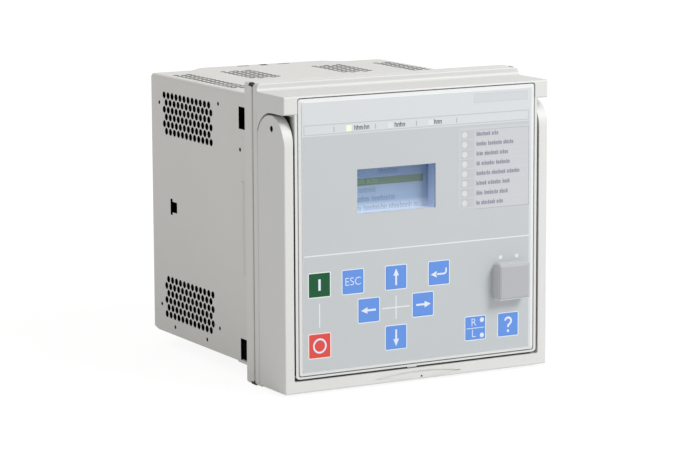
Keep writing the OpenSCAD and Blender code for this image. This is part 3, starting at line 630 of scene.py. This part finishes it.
def status_lens(name, colours):
    """Frosted lenses, of which the first is lit from its middle."""
    paint = Paint(name)
    x, z = paint.axes("XZ")
    low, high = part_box("status_lenses")
    half = (high.z - low.z) / 2
    from_centre = abs(x - low.x - half).larger(abs(z - low.z - half)) / half
    lit = (x < low.x + 3 * half) * (2.2 - 1.8 * from_centre).clamped()
    frost = paint.noise(1500.0)
    base = paint.mix(lit, srgb(206, 209, 211), colours.lit)
    return paint.surface(Base_Color=base, Roughness=0.25 + 0.15 * frost,
                         Emission_Color=paint.mix(lit, BLACK, colours.lit), Emission_Strength=0.4)


def circuit_board(name):
    """Solder mask over tracks that run along and across the board, with bright pads."""
    paint = Paint(name)
    lanes = paint.noise(1.0, 1.0, stretch=(600.0, 45.0, 600.0))
    ways = paint.noise(1.0, 1.0, stretch=(600.0, 600.0, 45.0))
    tracks = (lanes > 0.58).larger(ways > 0.6)
    pads = paint.node("ShaderNodeTexVoronoi", {}, {"Vector": paint.place, "Scale": 420.0}) < 0.14
    base = paint.mix(tracks, srgb(18, 82, 48), srgb(38, 118, 70))
    base = paint.mix(pads, base, srgb(196, 198, 194))
    return paint.surface(Base_Color=base, Roughness=0.35, Coat_Weight=0.3, Coat_Roughness=0.2,
                         Normal=paint.bump(tracks, 0.2, 0.05))


def wound_coil(name, wire, core, wire_pitch=0.9, core_pitch=0.7):
    """Turns of wire and the edges of core laminations, with their pitches in millimetres."""
    paint = Paint(name)
    x, z = paint.axes("XZ")
    turns, leaves = z.waves(wire_pitch), x.waves(core_pitch)
    mottle = paint.noise(300.0, 3.0)
    base = paint.mix(0.5 + 0.5 * turns, shade(wire, 0.7), wire)
    base = paint.mix(0.25 * (0.5 + 0.5 * leaves), base, core)
    base = paint.mix(mottle * 0.4, base, shade(wire, 0.6))
    return paint.surface(Base_Color=base, Roughness=0.45 + 0.2 * mottle,
                         Normal=paint.bump(turns, 0.3, 0.2))


def face_shape(points):
    """One face with an outline of points. A shape is its points and the faces between them."""
    return points, [tuple(range(len(points)))]


def box_shape(left, right, low, high):
    """Rectangle between its edges."""
    return face_shape([(left, low), (right, low), (right, high), (left, high)])


def arc_points(x, z, radius, start, end, steps):
    """Points along an arc between two angles in degrees."""
    turns = [math.radians(start + (end - start) * i / steps) for i in range(steps + 1)]
    return [(x + radius * math.cos(turn), z + radius * math.sin(turn)) for turn in turns]


def ring_points(x, z, radius, steps):
    """Points round a circle."""
    return arc_points(x, z, radius, 0, 360, steps)[:-1]


def disc_shape(x, z, radius):
    """Round face."""
    return face_shape(ring_points(x, z, radius, 32))


def ribbon_shape(points, width, closed=False):
    """Strip of even width along a line of points."""
    count = len(points)
    verts, faces = [], []
    for i, (x, z) in enumerate(points):
        back = points[(i - 1) % count] if closed or i else points[i]
        ahead = points[(i + 1) % count] if closed or i < count - 1 else points[i]
        before = Vector((x - back[0], z - back[1])).normalized()
        after = Vector((ahead[0] - x, ahead[1] - z)).normalized()
        along = (before + after).normalized()
        mitre = max(SHARPEST_MITRE, along.dot(after if after.length else before))
        half = width / 2 / mitre
        verts += [(x - along.y * half, z + along.x * half), (x + along.y * half, z - along.x * half)]
    for i in range(count if closed else count - 1):
        j = (i + 1) % count
        faces.append((2 * i, 2 * i + 1, 2 * j + 1, 2 * j))
    return verts, faces


def frame_shape(left, right, low, high, width):
    """Outline of a rectangle, drawn inside its edges."""
    inset = width / 2
    corners = box_shape(left + inset, right - inset, low + inset, high - inset)[0]
    return ribbon_shape(corners, width, closed=True)


def row_shapes(left, base, height, width, seed, breadth):
    """Row of upright marks with a plain rhythm: some are tall, most are joined in pairs at the top."""
    shapes, x, mark = [], left, 0
    stroke, low = height * 0.13, height * 0.72
    while x < left + width - height * breadth:
        beat = (mark * 7 + seed * 5) % 6
        single = beat == 3
        tall = beat in (1, 4) or mark == 0
        wide = height * breadth * (0.5 if single else 1.0)
        shapes.append(box_shape(x, x + stroke, base, base + (height if tall else low)))
        if not single:
            shapes.append(box_shape(x + wide - stroke, x + wide, base, base + low))
            shapes.append(box_shape(x + stroke, x + wide - stroke, base + low - stroke, base + low))
        mark += 1
        x += wide + height * (0.14 if (mark + seed) % 8 else 0.5)
    return shapes


def fastened(name, mesh, material, body):
    """Puts a mesh with its finish on a body."""
    mesh.materials.clear()
    mesh.materials.append(material)
    piece = bpy.data.objects.new(name, mesh)
    bpy.context.scene.collection.objects.link(piece)
    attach(piece, body)


def printed(name, shapes, y, relief, material, body):
    """One print: flat shapes in millimetres on a plane that faces -Y, raised by its relief."""
    mesh = bpy.data.meshes.new(name)
    sheet = bmesh.new()
    for points, faces in shapes:
        verts = [sheet.verts.new((x * MM, y, z * MM)) for x, z in points]
        for face in faces:
            sheet.faces.new([verts[i] for i in face])
    made = bmesh.ops.extrude_face_region(sheet, geom=sheet.faces[:])
    risen = [item for item in made["geom"] if isinstance(item, bmesh.types.BMVert)]
    bmesh.ops.translate(sheet, vec=(0, -relief, 0), verts=risen)
    bmesh.ops.recalc_face_normals(sheet, faces=sheet.faces[:])
    sheet.to_mesh(mesh)
    sheet.free()
    fastened(name, mesh, material, body)


def lettered(name, text, x, z, size, y, relief, material, body):
    """One generic key legend, set in the built-in typeface and made a little thinner."""
    curve = bpy.data.curves.new(name, "FONT")
    curve.body = text
    curve.size = size * MM
    curve.align_x = "CENTER"
    curve.align_y = "CENTER"
    curve.extrude = relief / 2
    curve.offset = -0.01 * size * MM
    draft = bpy.data.objects.new(name + "_text", curve)
    bpy.context.scene.collection.objects.link(draft)
    bpy.context.view_layer.update()
    mesh = bpy.data.meshes.new_from_object(draft.evaluated_get(bpy.context.evaluated_depsgraph_get()))
    bpy.data.objects.remove(draft)
    upright = Matrix.Rotation(math.radians(90), 4, "X")
    mesh.transform(Matrix.Translation((x * MM, y - relief / 2, z * MM)) @ upright)
    fastened(name, mesh, material, body)


class RELAY_OT_case(bpy.types.Operator):
    """Coat the sheet case and its frame, and finish its seal and rails"""
    bl_idname = "relay.case"
    bl_label = "Case"

    def execute(self, context):
        colours = context.scene.relay_colours
        wear(coated_sheet("case_coat", colours.case), "case_wrap", "case_floor", "case_back")
        wear(coated_sheet("frame_coat", colours.case), "case_frame")
        wear(soft_rubber("seal_rubber"), "frame_seal")
        wear(moulded("rail_nylon", srgb(38, 40, 43)), "guide_rails")
        return {"FINISHED"}


class RELAY_OT_terminals(bpy.types.Operator):
    """Finish the terminal blocks, plugs and screws"""
    bl_idname = "relay.terminals"
    bl_label = "Terminals"

    def execute(self, context):
        wear(moulded("terminal_grey", srgb(76, 79, 82)), "current_terminals", "current_plug")
        wear(moulded("terminal_green", srgb(40, 112, 66)), "signal_terminals", "signal_plugs")
        wear(plated_steel("clamp_plating", srgb(206, 190, 142)),
             "current_terminal_screws", "signal_terminal_screws", "earth_washer")
        wear(plated_steel("screw_zinc", srgb(206, 207, 208)),
             "back_screws", "earth_screw", "hmi_screws", "hmi_spacers", "chassis_screws")
        return {"FINISHED"}


class RELAY_OT_bezel(bpy.types.Operator):
    """Finish the moulded bezel, handle, plate and port"""
    bl_idname = "relay.bezel"
    bl_label = "Bezel and handle"

    def execute(self, context):
        colours = context.scene.relay_colours
        # Near-black of the painted shade in the gap round the handle, in its pivot holes and on their pins.
        dark = srgb(20, 20, 20)
        wear(moulded("bezel_moulding", colours.bezel, patch=self.gap, patch_tint=dark), "bezel")
        # Painted shade in the handle's pivot holes.
        wear(moulded("handle_moulding", colours.bezel, patch=self.pivot_hole_shade, patch_tint=dark), "handle")
        # Painted shade: the pins in the pivot holes are near-black.
        wear(moulded("pin_painted_shade", dark), "handle_pins")
        wear(moulded_plate("plate_moulding", colours), "front_plate")
        # Painted light on the port cover: lighter sides and a painted highlight along its lower edge.
        wear(moulded("cover_moulding", colours.cover, grain=1600.0, depth=0.16, rough=0.5,
                     patch=self.cover_painted_light, patch_tint=shade(colours.cover, 1.9)), "port_cover")
        wear(moulded("socket_moulding", srgb(24, 24, 26)), "port_socket")
        wear(light_pipe("port_lens", srgb(70, 16, 18)), "port_lenses")
        return {"FINISHED"}

    def gap(self, x, y, z):
        """Mask of painted shade in the narrow gap between the handle and the bezel's lip."""
        low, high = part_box("handle")
        inner = high.x - ARM * MM
        over = low.z + BAR * MM
        beside = abs(x).between(inner - (ARM_GAP + GAP_OVERLAP) * MM, inner)
        below = z.between(over, over + (BAR_GAP + GAP_OVERLAP) * MM)
        depth = (y - LIP_FRONT * MM) / (GAP_DEPTH * MM)
        narrow = ((1.0 - depth) / GAP_FADE).clamped()
        wedge = (depth / WEDGE_DEPTH).clamped()
        along_arm = ((PIVOT_LOW * MM - z) / (PIVOT_FADE * MM)).clamped()
        dark = along_arm * narrow + (1.0 - along_arm) * wedge
        return beside.larger(below) * (depth > 0.0) * dark * (z < high.z)

    def pivot_hole_shade(self, x, y, z):
        """Mask of painted shade in the pivot holes."""
        axis = middle("handle_pins")
        radius = PIVOT_HOLE / 2 * MM
        return (y - axis.y) * (y - axis.y) + (z - axis.z) * (z - axis.z) < radius * radius

    def cover_painted_light(self, x, y, z):
        """Mask of painted light on the port cover: its sides are lighter, and a painted highlight runs
        along its lower edge.
        """
        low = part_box("port_cover")[0]
        return (SIDE_SHARE * (y > low.y + COVER_FACE * MM)).larger(z < low.z + COVER_EDGE * MM)


class RELAY_OT_film(bpy.types.Operator):
    """Print the film's fields, lines and marks"""
    bl_idname = "relay.film"
    bl_label = "Film"

    def execute(self, context):
        colours, sizes = context.scene.relay_colours, context.scene.relay_sizes
        wear(printed_film("film_print", colours), "front_film")
        self.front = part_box("front_film")[0].y
        self.relief = sizes.relief
        self.lines(sizes.line / MM, colours)
        self.frames(sizes.thin / MM, colours)
        self.status_row(colours)
        return {"FINISHED"}

    def print_film(self, name, shapes, material):
        """Prints shapes on the face of the film."""
        printed(name, shapes, self.front, self.relief, material, "unit")

    def lines(self, line, colours):
        """Pale lines across the film and between the keys, and two dots above the port."""
        close, opened = middle("key_close") / MM, middle("key_open") / MM
        up, down = middle("key_up") / MM, middle("key_down") / MM
        left, right = middle("key_left") / MM, middle("key_right") / MM
        port = middle("port_cover") / MM
        half = line / 2
        start, end, level = DIVIDER
        halfway = (close.z + opened.z) / 2
        x, z = (left.x + right.x) / 2, (up.z + down.z) / 2
        shapes = [
            box_shape(start, end, level - half, level + half),
            box_shape(close.x - half, close.x + half, halfway - CROSS_HIGH, halfway + CROSS_HIGH),
            box_shape(x - CROSS_WIDE, x + CROSS_WIDE, z - half, z + half),
            box_shape(x - half, x + half, z - CROSS_HIGH, z - half),
            box_shape(x - half, x + half, z + half, z + CROSS_HIGH),
        ]
        for aside in PORT_DOTS:
            shapes.append(disc_shape(port.x + aside, port.z + PORT_DOT_RISE, PORT_DOT_RADIUS))
        self.print_film("film_lines", shapes, ink("pale_ink", colours.line))

    def frames(self, thin, colours):
        """Fine outlines: the status strip, the type field, and the cells of the alarm lenses."""
        (left, right, low, _), pitch = alarm_cells()
        levels = [low + pitch * i for i in range(ALARMS + 1)]
        cells = [box_shape(left, right, level - thin / 2, level + thin / 2) for level in levels]
        for name, shapes, tint in (
                ("strip_outline", [frame_shape(*STRIP, STRIP_LINE)], shade(colours.header, 0.8)),
                ("type_field_outline", [frame_shape(*TYPE_FIELD, thin)], shade(colours.header, 0.87)),
                ("cell_outlines", cells, shade(colours.field, 1.08))):
            self.print_film(name, shapes, ink(name + "_ink", tint))

    def status_row(self, colours):
        """Marks beside the status lenses, and ticks between their places."""
        low, high = (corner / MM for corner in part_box("status_lenses"))
        radius = (high.z - low.z) / 2
        lens = Vector((low.x + radius, (low.z + high.z) / 2))
        pitch = (high.x - low.x) / 2 - radius
        marks, ticks = [], []
        for i, (gap, width) in enumerate(STATUS_ROWS):
            marks += row_shapes(lens.x + pitch * i + gap, lens.y - STATUS_DROP, STATUS_MARK, width,
                                seed=i, breadth=0.5)
        for i in range(len(STATUS_ROWS) + 1):
            x = lens.x + pitch * i - TICK_BACK
            ticks.append(box_shape(x - TICK_WIDE, x + TICK_WIDE, lens.y - TICK_HIGH, lens.y + TICK_HIGH))
        self.print_film("status_words", marks, ink("status_ink", colours.ink))
        self.print_film("film_ticks", ticks, ink("tick_ink", srgb(164, 168, 172)))


class RELAY_OT_label(bpy.types.Operator):
    """Rule the label card and set rows of plain marks on it"""
    bl_idname = "relay.label"
    bl_label = "Label card"

    def execute(self, context):
        colours, sizes = context.scene.relay_colours, context.scene.relay_sizes
        wear(ink("card_stock", colours.field, 0.5), "label_card")
        low, high = (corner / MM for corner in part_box("label_card"))
        front = low.y * MM
        pitch = (high.z - low.z) / ALARMS
        rules, marks = [], []
        for row, width in enumerate(LABEL_WIDTHS):
            if row:
                level = low.z + pitch * row
                rules.append(box_shape(low.x, high.x, level - LABEL_RULE, level + LABEL_RULE))
            base = high.z - pitch * (row + LABEL_BASE)
            marks += row_shapes(low.x + LABEL_INSET, base, LABEL_MARK, width, seed=row * 2, breadth=0.34)
        pale, dark = ink("rule_ink", shade(colours.field, 1.06)), ink("card_ink", colours.card_ink)
        printed("label_rules", rules, front, sizes.relief, pale, "unit")
        printed("label_words", marks, front, sizes.relief, dark, "unit")
        return {"FINISHED"}


class RELAY_OT_display(bpy.types.Operator):
    """Finish the display and fill its rows with plain marks"""
    bl_idname = "relay.display"
    bl_label = "Display"

    def execute(self, context):
        colours, sizes = context.scene.relay_colours, context.scene.relay_sizes
        wear(display_glass("display_glass", colours), "display_module")
        wear(clear_pane("window_clear"), "display_window")
        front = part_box("display_module")[0].y
        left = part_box("display_window")[0].x / MM + DISPLAY_INSET
        dark = display_marks("display_ink", colours)
        pale = ink("display_bar_ink", shade(colours.display_bar, 1.9))
        rows = []
        for row, (inset, width) in enumerate(DISPLAY_ROWS):
            base = DISPLAY_HIGH - ROW_HEIGHT * (row + ROW_BASE)
            rows.append(row_shapes(left + inset, base, DISPLAY_MARK, width, seed=row * 3, breadth=0.5))
        chosen = rows.pop(CHOSEN_ROW)
        printed("display_rows", sum(rows, []), front, sizes.relief, dark, "unit")
        printed("display_chosen_row", chosen, front, sizes.relief, pale, "unit")
        return {"FINISHED"}


class RELAY_OT_lenses(bpy.types.Operator):
    """Finish the indicator lenses and the diodes behind them"""
    bl_idname = "relay.lenses"
    bl_label = "Indicator lenses"

    def execute(self, context):
        wear(status_lens("status_lens", context.scene.relay_colours), "status_lenses")
        wear(light_pipe("alarm_lens", srgb(198, 202, 203)), "alarm_lenses")
        wear(moulded("diode_body", srgb(230, 230, 216)), "leds")
        return {"FINISHED"}


class RELAY_OT_keys(bpy.types.Operator):
    """Print the keys and set their symbols"""
    bl_idname = "relay.keys"
    bl_label = "Keys"

    def execute(self, context):
        colours, sizes = context.scene.relay_colours, context.scene.relay_sizes
        self.white = ink("symbol_ink", srgb(210, 217, 230))
        self.relief = sizes.relief
        self.stroke = sizes.symbol / MM
        fields = {"close": (("key_close",), colours.green, srgb(222, 232, 228)),
                  "open": (("key_open",), colours.red, srgb(252, 218, 212)),
                  "menu": (MENU_KEYS, colours.blue, srgb(214, 228, 246))}
        for name, (nodes, tint, pale) in fields.items():
            wear(printed_key(name + "_print", tint), *nodes)
            rims = [self.rim(node, sizes.edge / MM) for node in nodes]
            printed(name + "_borders", rims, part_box("front_film")[0].y, sizes.relief,
                    ink(name + "_border_ink", pale), "unit")
        for node, shapes in self.symbols().items():
            self.set_symbol(node, shapes)
        self.set_legends()
        return {"FINISHED"}

    def rim(self, node, edge):
        """Pale border on the film round a key."""
        spot = middle(node) / MM
        inner, outer = PAD_SIZE / 2 + RIM_GAP, PAD_SIZE / 2 + edge
        reach = (inner + outer) / 2 - RIM_CORNER
        path = []
        for quarter, (side, rise) in enumerate(((1, 1), (-1, 1), (-1, -1), (1, -1))):
            x, z, start = spot.x + side * reach, spot.z + rise * reach, 90 * quarter
            path += arc_points(x, z, RIM_CORNER, start, start + 90, 4)
        return ribbon_shape(path, outer - inner, closed=True)

    def symbols(self):
        """Shapes of the symbols, measured from the middles of their keys."""
        return {
            "key_close": [box_shape(-0.75, 0.75, -3.2, 3.4)],
            "key_open": [ribbon_shape(ring_points(0, 0, 3.9, 48), 1.05, closed=True)],
            "key_up": self.arrow(90),
            "key_down": self.arrow(-90),
            "key_left": self.arrow(180),
            "key_right": self.arrow(0),
            "key_enter": self.hook(),
            "key_remote": [disc_shape(4.5, 4.6, 1.4), disc_shape(4.5, -4.6, 1.4),
                           box_shape(-6.0, 6.0, -0.2, 0.2)],
            "key_help": self.question(),
        }

    def arrow(self, degrees):
        """Arrow that points along an angle: shaft and head."""
        tail, neck, tip = -4.6, 1.0, 5.2
        half = 0.6 * self.stroke
        upper = [(tip, 0.0), (neck, HEAD), (neck, half), (tail, half)]
        lower = [(x, -z) for x, z in reversed(upper[1:])]
        turn = Matrix.Rotation(math.radians(degrees), 2)
        return [face_shape([tuple(turn @ Vector(point)) for point in lower + upper])]

    def hook(self):
        """Arrow that comes down, bends and points to the left."""
        tip, in_head, neck, corner, bend = -5.6, -2.0, -1.6, 3.2, 1.6
        level, top = -0.7, 2.7
        head = face_shape([(tip, level), (neck, level + HEAD), (neck, level - HEAD)])
        arc = arc_points(corner, level + bend, bend, -90, 0, 8)
        return [head, ribbon_shape([(in_head, level), *arc, (corner + bend, top)], self.stroke)]

    def question(self):
        """Question mark: bow, stem and dot."""
        bow = arc_points(0, 2.0, 2.1, 170, -50, 20)
        stem = [(0.15, -0.5), (0.0, -1.7)]
        return [ribbon_shape(bow + stem, 1.25), disc_shape(0.0, -3.9, 0.85)]

    def set_symbol(self, node, shapes):
        """Prints a symbol on its key."""
        spot = middle(node) / MM
        moved = [([(x + spot.x, z + spot.z) for x, z in points], faces) for points, faces in shapes]
        printed(node + "_symbol", moved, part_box(node)[0].y, self.relief, self.white, node)

    def set_legends(self):
        """Sets the letters, with their places from the middles of their keys and their sizes."""
        for name, text, node, aside, rise, size in (
                ("escape_legend", "ESC", "key_escape", 0.0, 0.0, 6.7),
                ("remote_legend", "R", "key_remote", -1.2, 3.3, 6.6),
                ("local_legend", "L", "key_remote", -1.2, -3.4, 6.6)):
            spot = middle(node) / MM
            lettered(name, text, spot.x + aside, spot.z + rise, size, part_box(node)[0].y, self.relief,
                     self.white, node)


class RELAY_OT_inside(bpy.types.Operator):
    """Finish the chassis, boards and what they carry"""
    bl_idname = "relay.inside"
    bl_label = "Inside"

    def execute(self, context):
        # Chassis plates in a near-black grey.
        wear(moulded("chassis_dark", srgb(34, 34, 36), grain=900.0, depth=0.05, rough=0.5),
             "chassis_left", "chassis_right", "chassis_rear")
        wear(circuit_board("board_mask"), "hmi_board", "transformer_board", "cpu_board", "io_board")
        wear(moulded("component_black", srgb(30, 30, 32), grain=1800.0),
             "key_switches", "cpu_chips", "board_links")
        wear(wound_coil("brown_winding", srgb(150, 92, 52), srgb(84, 86, 90)), "input_transformers")
        wear(wound_coil("yellow_winding", srgb(212, 176, 84), srgb(52, 50, 50)), "power_transformer")
        wear(moulded("relay_housing", srgb(52, 66, 112), grain=1800.0, depth=0.06, rough=0.3),
             "output_relays")
        wear(moulded("can_sleeve", srgb(32, 40, 84), grain=900.0, depth=0.04, rough=0.25), "capacitors")
        return {"FINISHED"}


class RELAY_OT_stage(bpy.types.Operator):
    """Lay a pale floor, light it softly and set the camera"""
    bl_idname = "relay.stage"
    bl_label = "Stage"

    def execute(self, context):
        stage = context.scene.relay_stage
        context.scene.view_settings.view_transform = "Standard"
        self.lay_floor(context.scene)
        self.light_world(context.scene, stage.ambient)
        self.hang_lamp(context.scene, stage.key_power)
        self.set_camera(context.scene, stage)
        return {"FINISHED"}

    def lay_floor(self, scene):
        """Wide floor just below the relay."""
        level = CAD_BOX[0][2] - FLOOR_DROP
        corners = box_shape(-FLOOR_REACH, FLOOR_REACH, -FLOOR_REACH, FLOOR_REACH)[0]
        mesh = bpy.data.meshes.new("floor")
        mesh.from_pydata([(x, y, level) for x, y in corners], [], [(0, 1, 2, 3)])
        mesh.materials.append(self.floor_finish())
        floor = bpy.data.objects.new("floor", mesh)
        scene.collection.objects.link(floor)

    def seen(self, paint):
        """Mask of the rays that show the background."""
        kinds = ("Is Camera Ray", "Is Glossy Ray", "Is Transmission Ray")
        camera, glossy, through = paint.node("ShaderNodeLightPath", output=kinds)
        return camera.larger(glossy).larger(through)

    def floor_finish(self):
        """Pale floor that shows white and keeps a soft shadow."""
        paint = Paint("floor_pale")
        grain = paint.noise(220.0)
        tint = paint.mix(grain, srgb(240, 240, 240), srgb(246, 246, 246))
        matte = paint.node("ShaderNodeBsdfDiffuse", {}, {"Color": tint})
        white = paint.node("ShaderNodeEmission", {}, {"Color": (*WHITE, 1.0), "Strength": FLOOR_GLOW})
        shown = paint.node("ShaderNodeMixShader", {}, {0: SHADOW_SHARE, 1: white, 2: matte})
        both = paint.node("ShaderNodeMixShader", {}, {0: self.seen(paint), 1: matte, 2: shown})
        paint.node("ShaderNodeOutputMaterial", {}, {"Surface": both})
        return paint.owner

    def light_world(self, scene, ambient):
        """Even light from all round, in front of a white background."""
        paint = Paint("studio", "worlds")
        scene.world = paint.owner
        seen = self.seen(paint)
        strength = ambient + (1.0 - ambient) * seen
        tint = paint.mix(seen, WORLD_TINT, WHITE)
        light = paint.node("ShaderNodeBackground", {}, {"Color": tint, "Strength": strength})
        paint.node("ShaderNodeOutputWorld", {}, {"Surface": light})

    def hang_lamp(self, scene, power):
        """Round soft lamp that points at the relay."""
        lamp = bpy.data.lights.new("key_lamp", "AREA")
        lamp.shape = "DISK"
        lamp.size = LAMP_SIZE
        lamp.energy = power
        lamp.color = LAMP_TINT
        hung = bpy.data.objects.new("key_lamp", lamp)
        scene.collection.objects.link(hung)
        hung.location = LAMP_PLACE
        hung.rotation_mode = "QUATERNION"
        hung.rotation_quaternion = (-Vector(LAMP_PLACE)).to_track_quat("-Z", "Y")

    def set_camera(self, scene, stage):
        """Camera at an angle and a distance from its target, turned about its own axis."""
        azimuth, elevation, roll = stage.azimuth, stage.elevation, stage.roll
        back = Vector((math.sin(azimuth) * math.cos(elevation), -math.cos(azimuth) * math.cos(elevation),
                       math.sin(elevation)))
        right = Vector((math.cos(azimuth), math.sin(azimuth), 0.0))
        up = back.cross(right)
        turned_right = math.cos(roll) * right + math.sin(roll) * up
        turned_up = math.cos(roll) * up - math.sin(roll) * right
        target = stage.aside * turned_right + stage.above * turned_up
        lens = bpy.data.cameras.new("camera")
        lens.lens = stage.lens
        lens.sensor_width = SENSOR
        lens.sensor_fit = "HORIZONTAL"
        lens.clip_end = FAR
        camera = bpy.data.objects.new("camera", lens)
        scene.collection.objects.link(camera)
        axes = Matrix((turned_right, turned_up, back)).transposed().to_4x4()
        camera.matrix_world = Matrix.Translation(target + stage.distance * back) @ axes
        scene.camera = camera


OPERATORS = (RELAY_OT_stage, RELAY_OT_case, RELAY_OT_terminals, RELAY_OT_bezel, RELAY_OT_film,
             RELAY_OT_label, RELAY_OT_display, RELAY_OT_lenses, RELAY_OT_keys, RELAY_OT_inside)
GROUPS = {"relay_colours": RelayColours, "relay_sizes": RelaySizes, "relay_stage": RelayStage}


class RELAY_PT_panel(bpy.types.Panel):
    """Lists the relay's pieces in the sidebar"""
    bl_idname = "RELAY_PT_panel"
    bl_label = "Protection relay"
    bl_space_type = "VIEW_3D"
    bl_region_type = "UI"
    bl_category = "Relay"

    def draw(self, context):
        for operator in OPERATORS:
            self.layout.operator(operator.bl_idname)
        for group in GROUPS:
            values = getattr(context.scene, group)
            for name in values.bl_rna.properties.keys():
                if name not in ("rna_type", "name"):
                    self.layout.prop(values, name)


def register():
    """Registers the classes and adds the properties to the scene."""
    for name, group in GROUPS.items():
        bpy.utils.register_class(group)
        setattr(bpy.types.Scene, name, PointerProperty(type=group))
    for made in (*OPERATORS, RELAY_PT_panel):
        bpy.utils.register_class(made)


def unregister():
    """Takes away what register adds."""
    for made in (RELAY_PT_panel, *reversed(OPERATORS)):
        bpy.utils.unregister_class(made)
    for name, group in GROUPS.items():
        delattr(bpy.types.Scene, name)
        bpy.utils.unregister_class(group)


def main():
    """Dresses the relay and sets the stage."""
    register()
    bpy.ops.relay.stage()
    bpy.ops.relay.case()
    bpy.ops.relay.terminals()
    bpy.ops.relay.bezel()
    bpy.ops.relay.film()
    bpy.ops.relay.label()
    bpy.ops.relay.display()
    bpy.ops.relay.lenses()
    bpy.ops.relay.keys()
    bpy.ops.relay.inside()


if __name__ == "__main__":
    main()
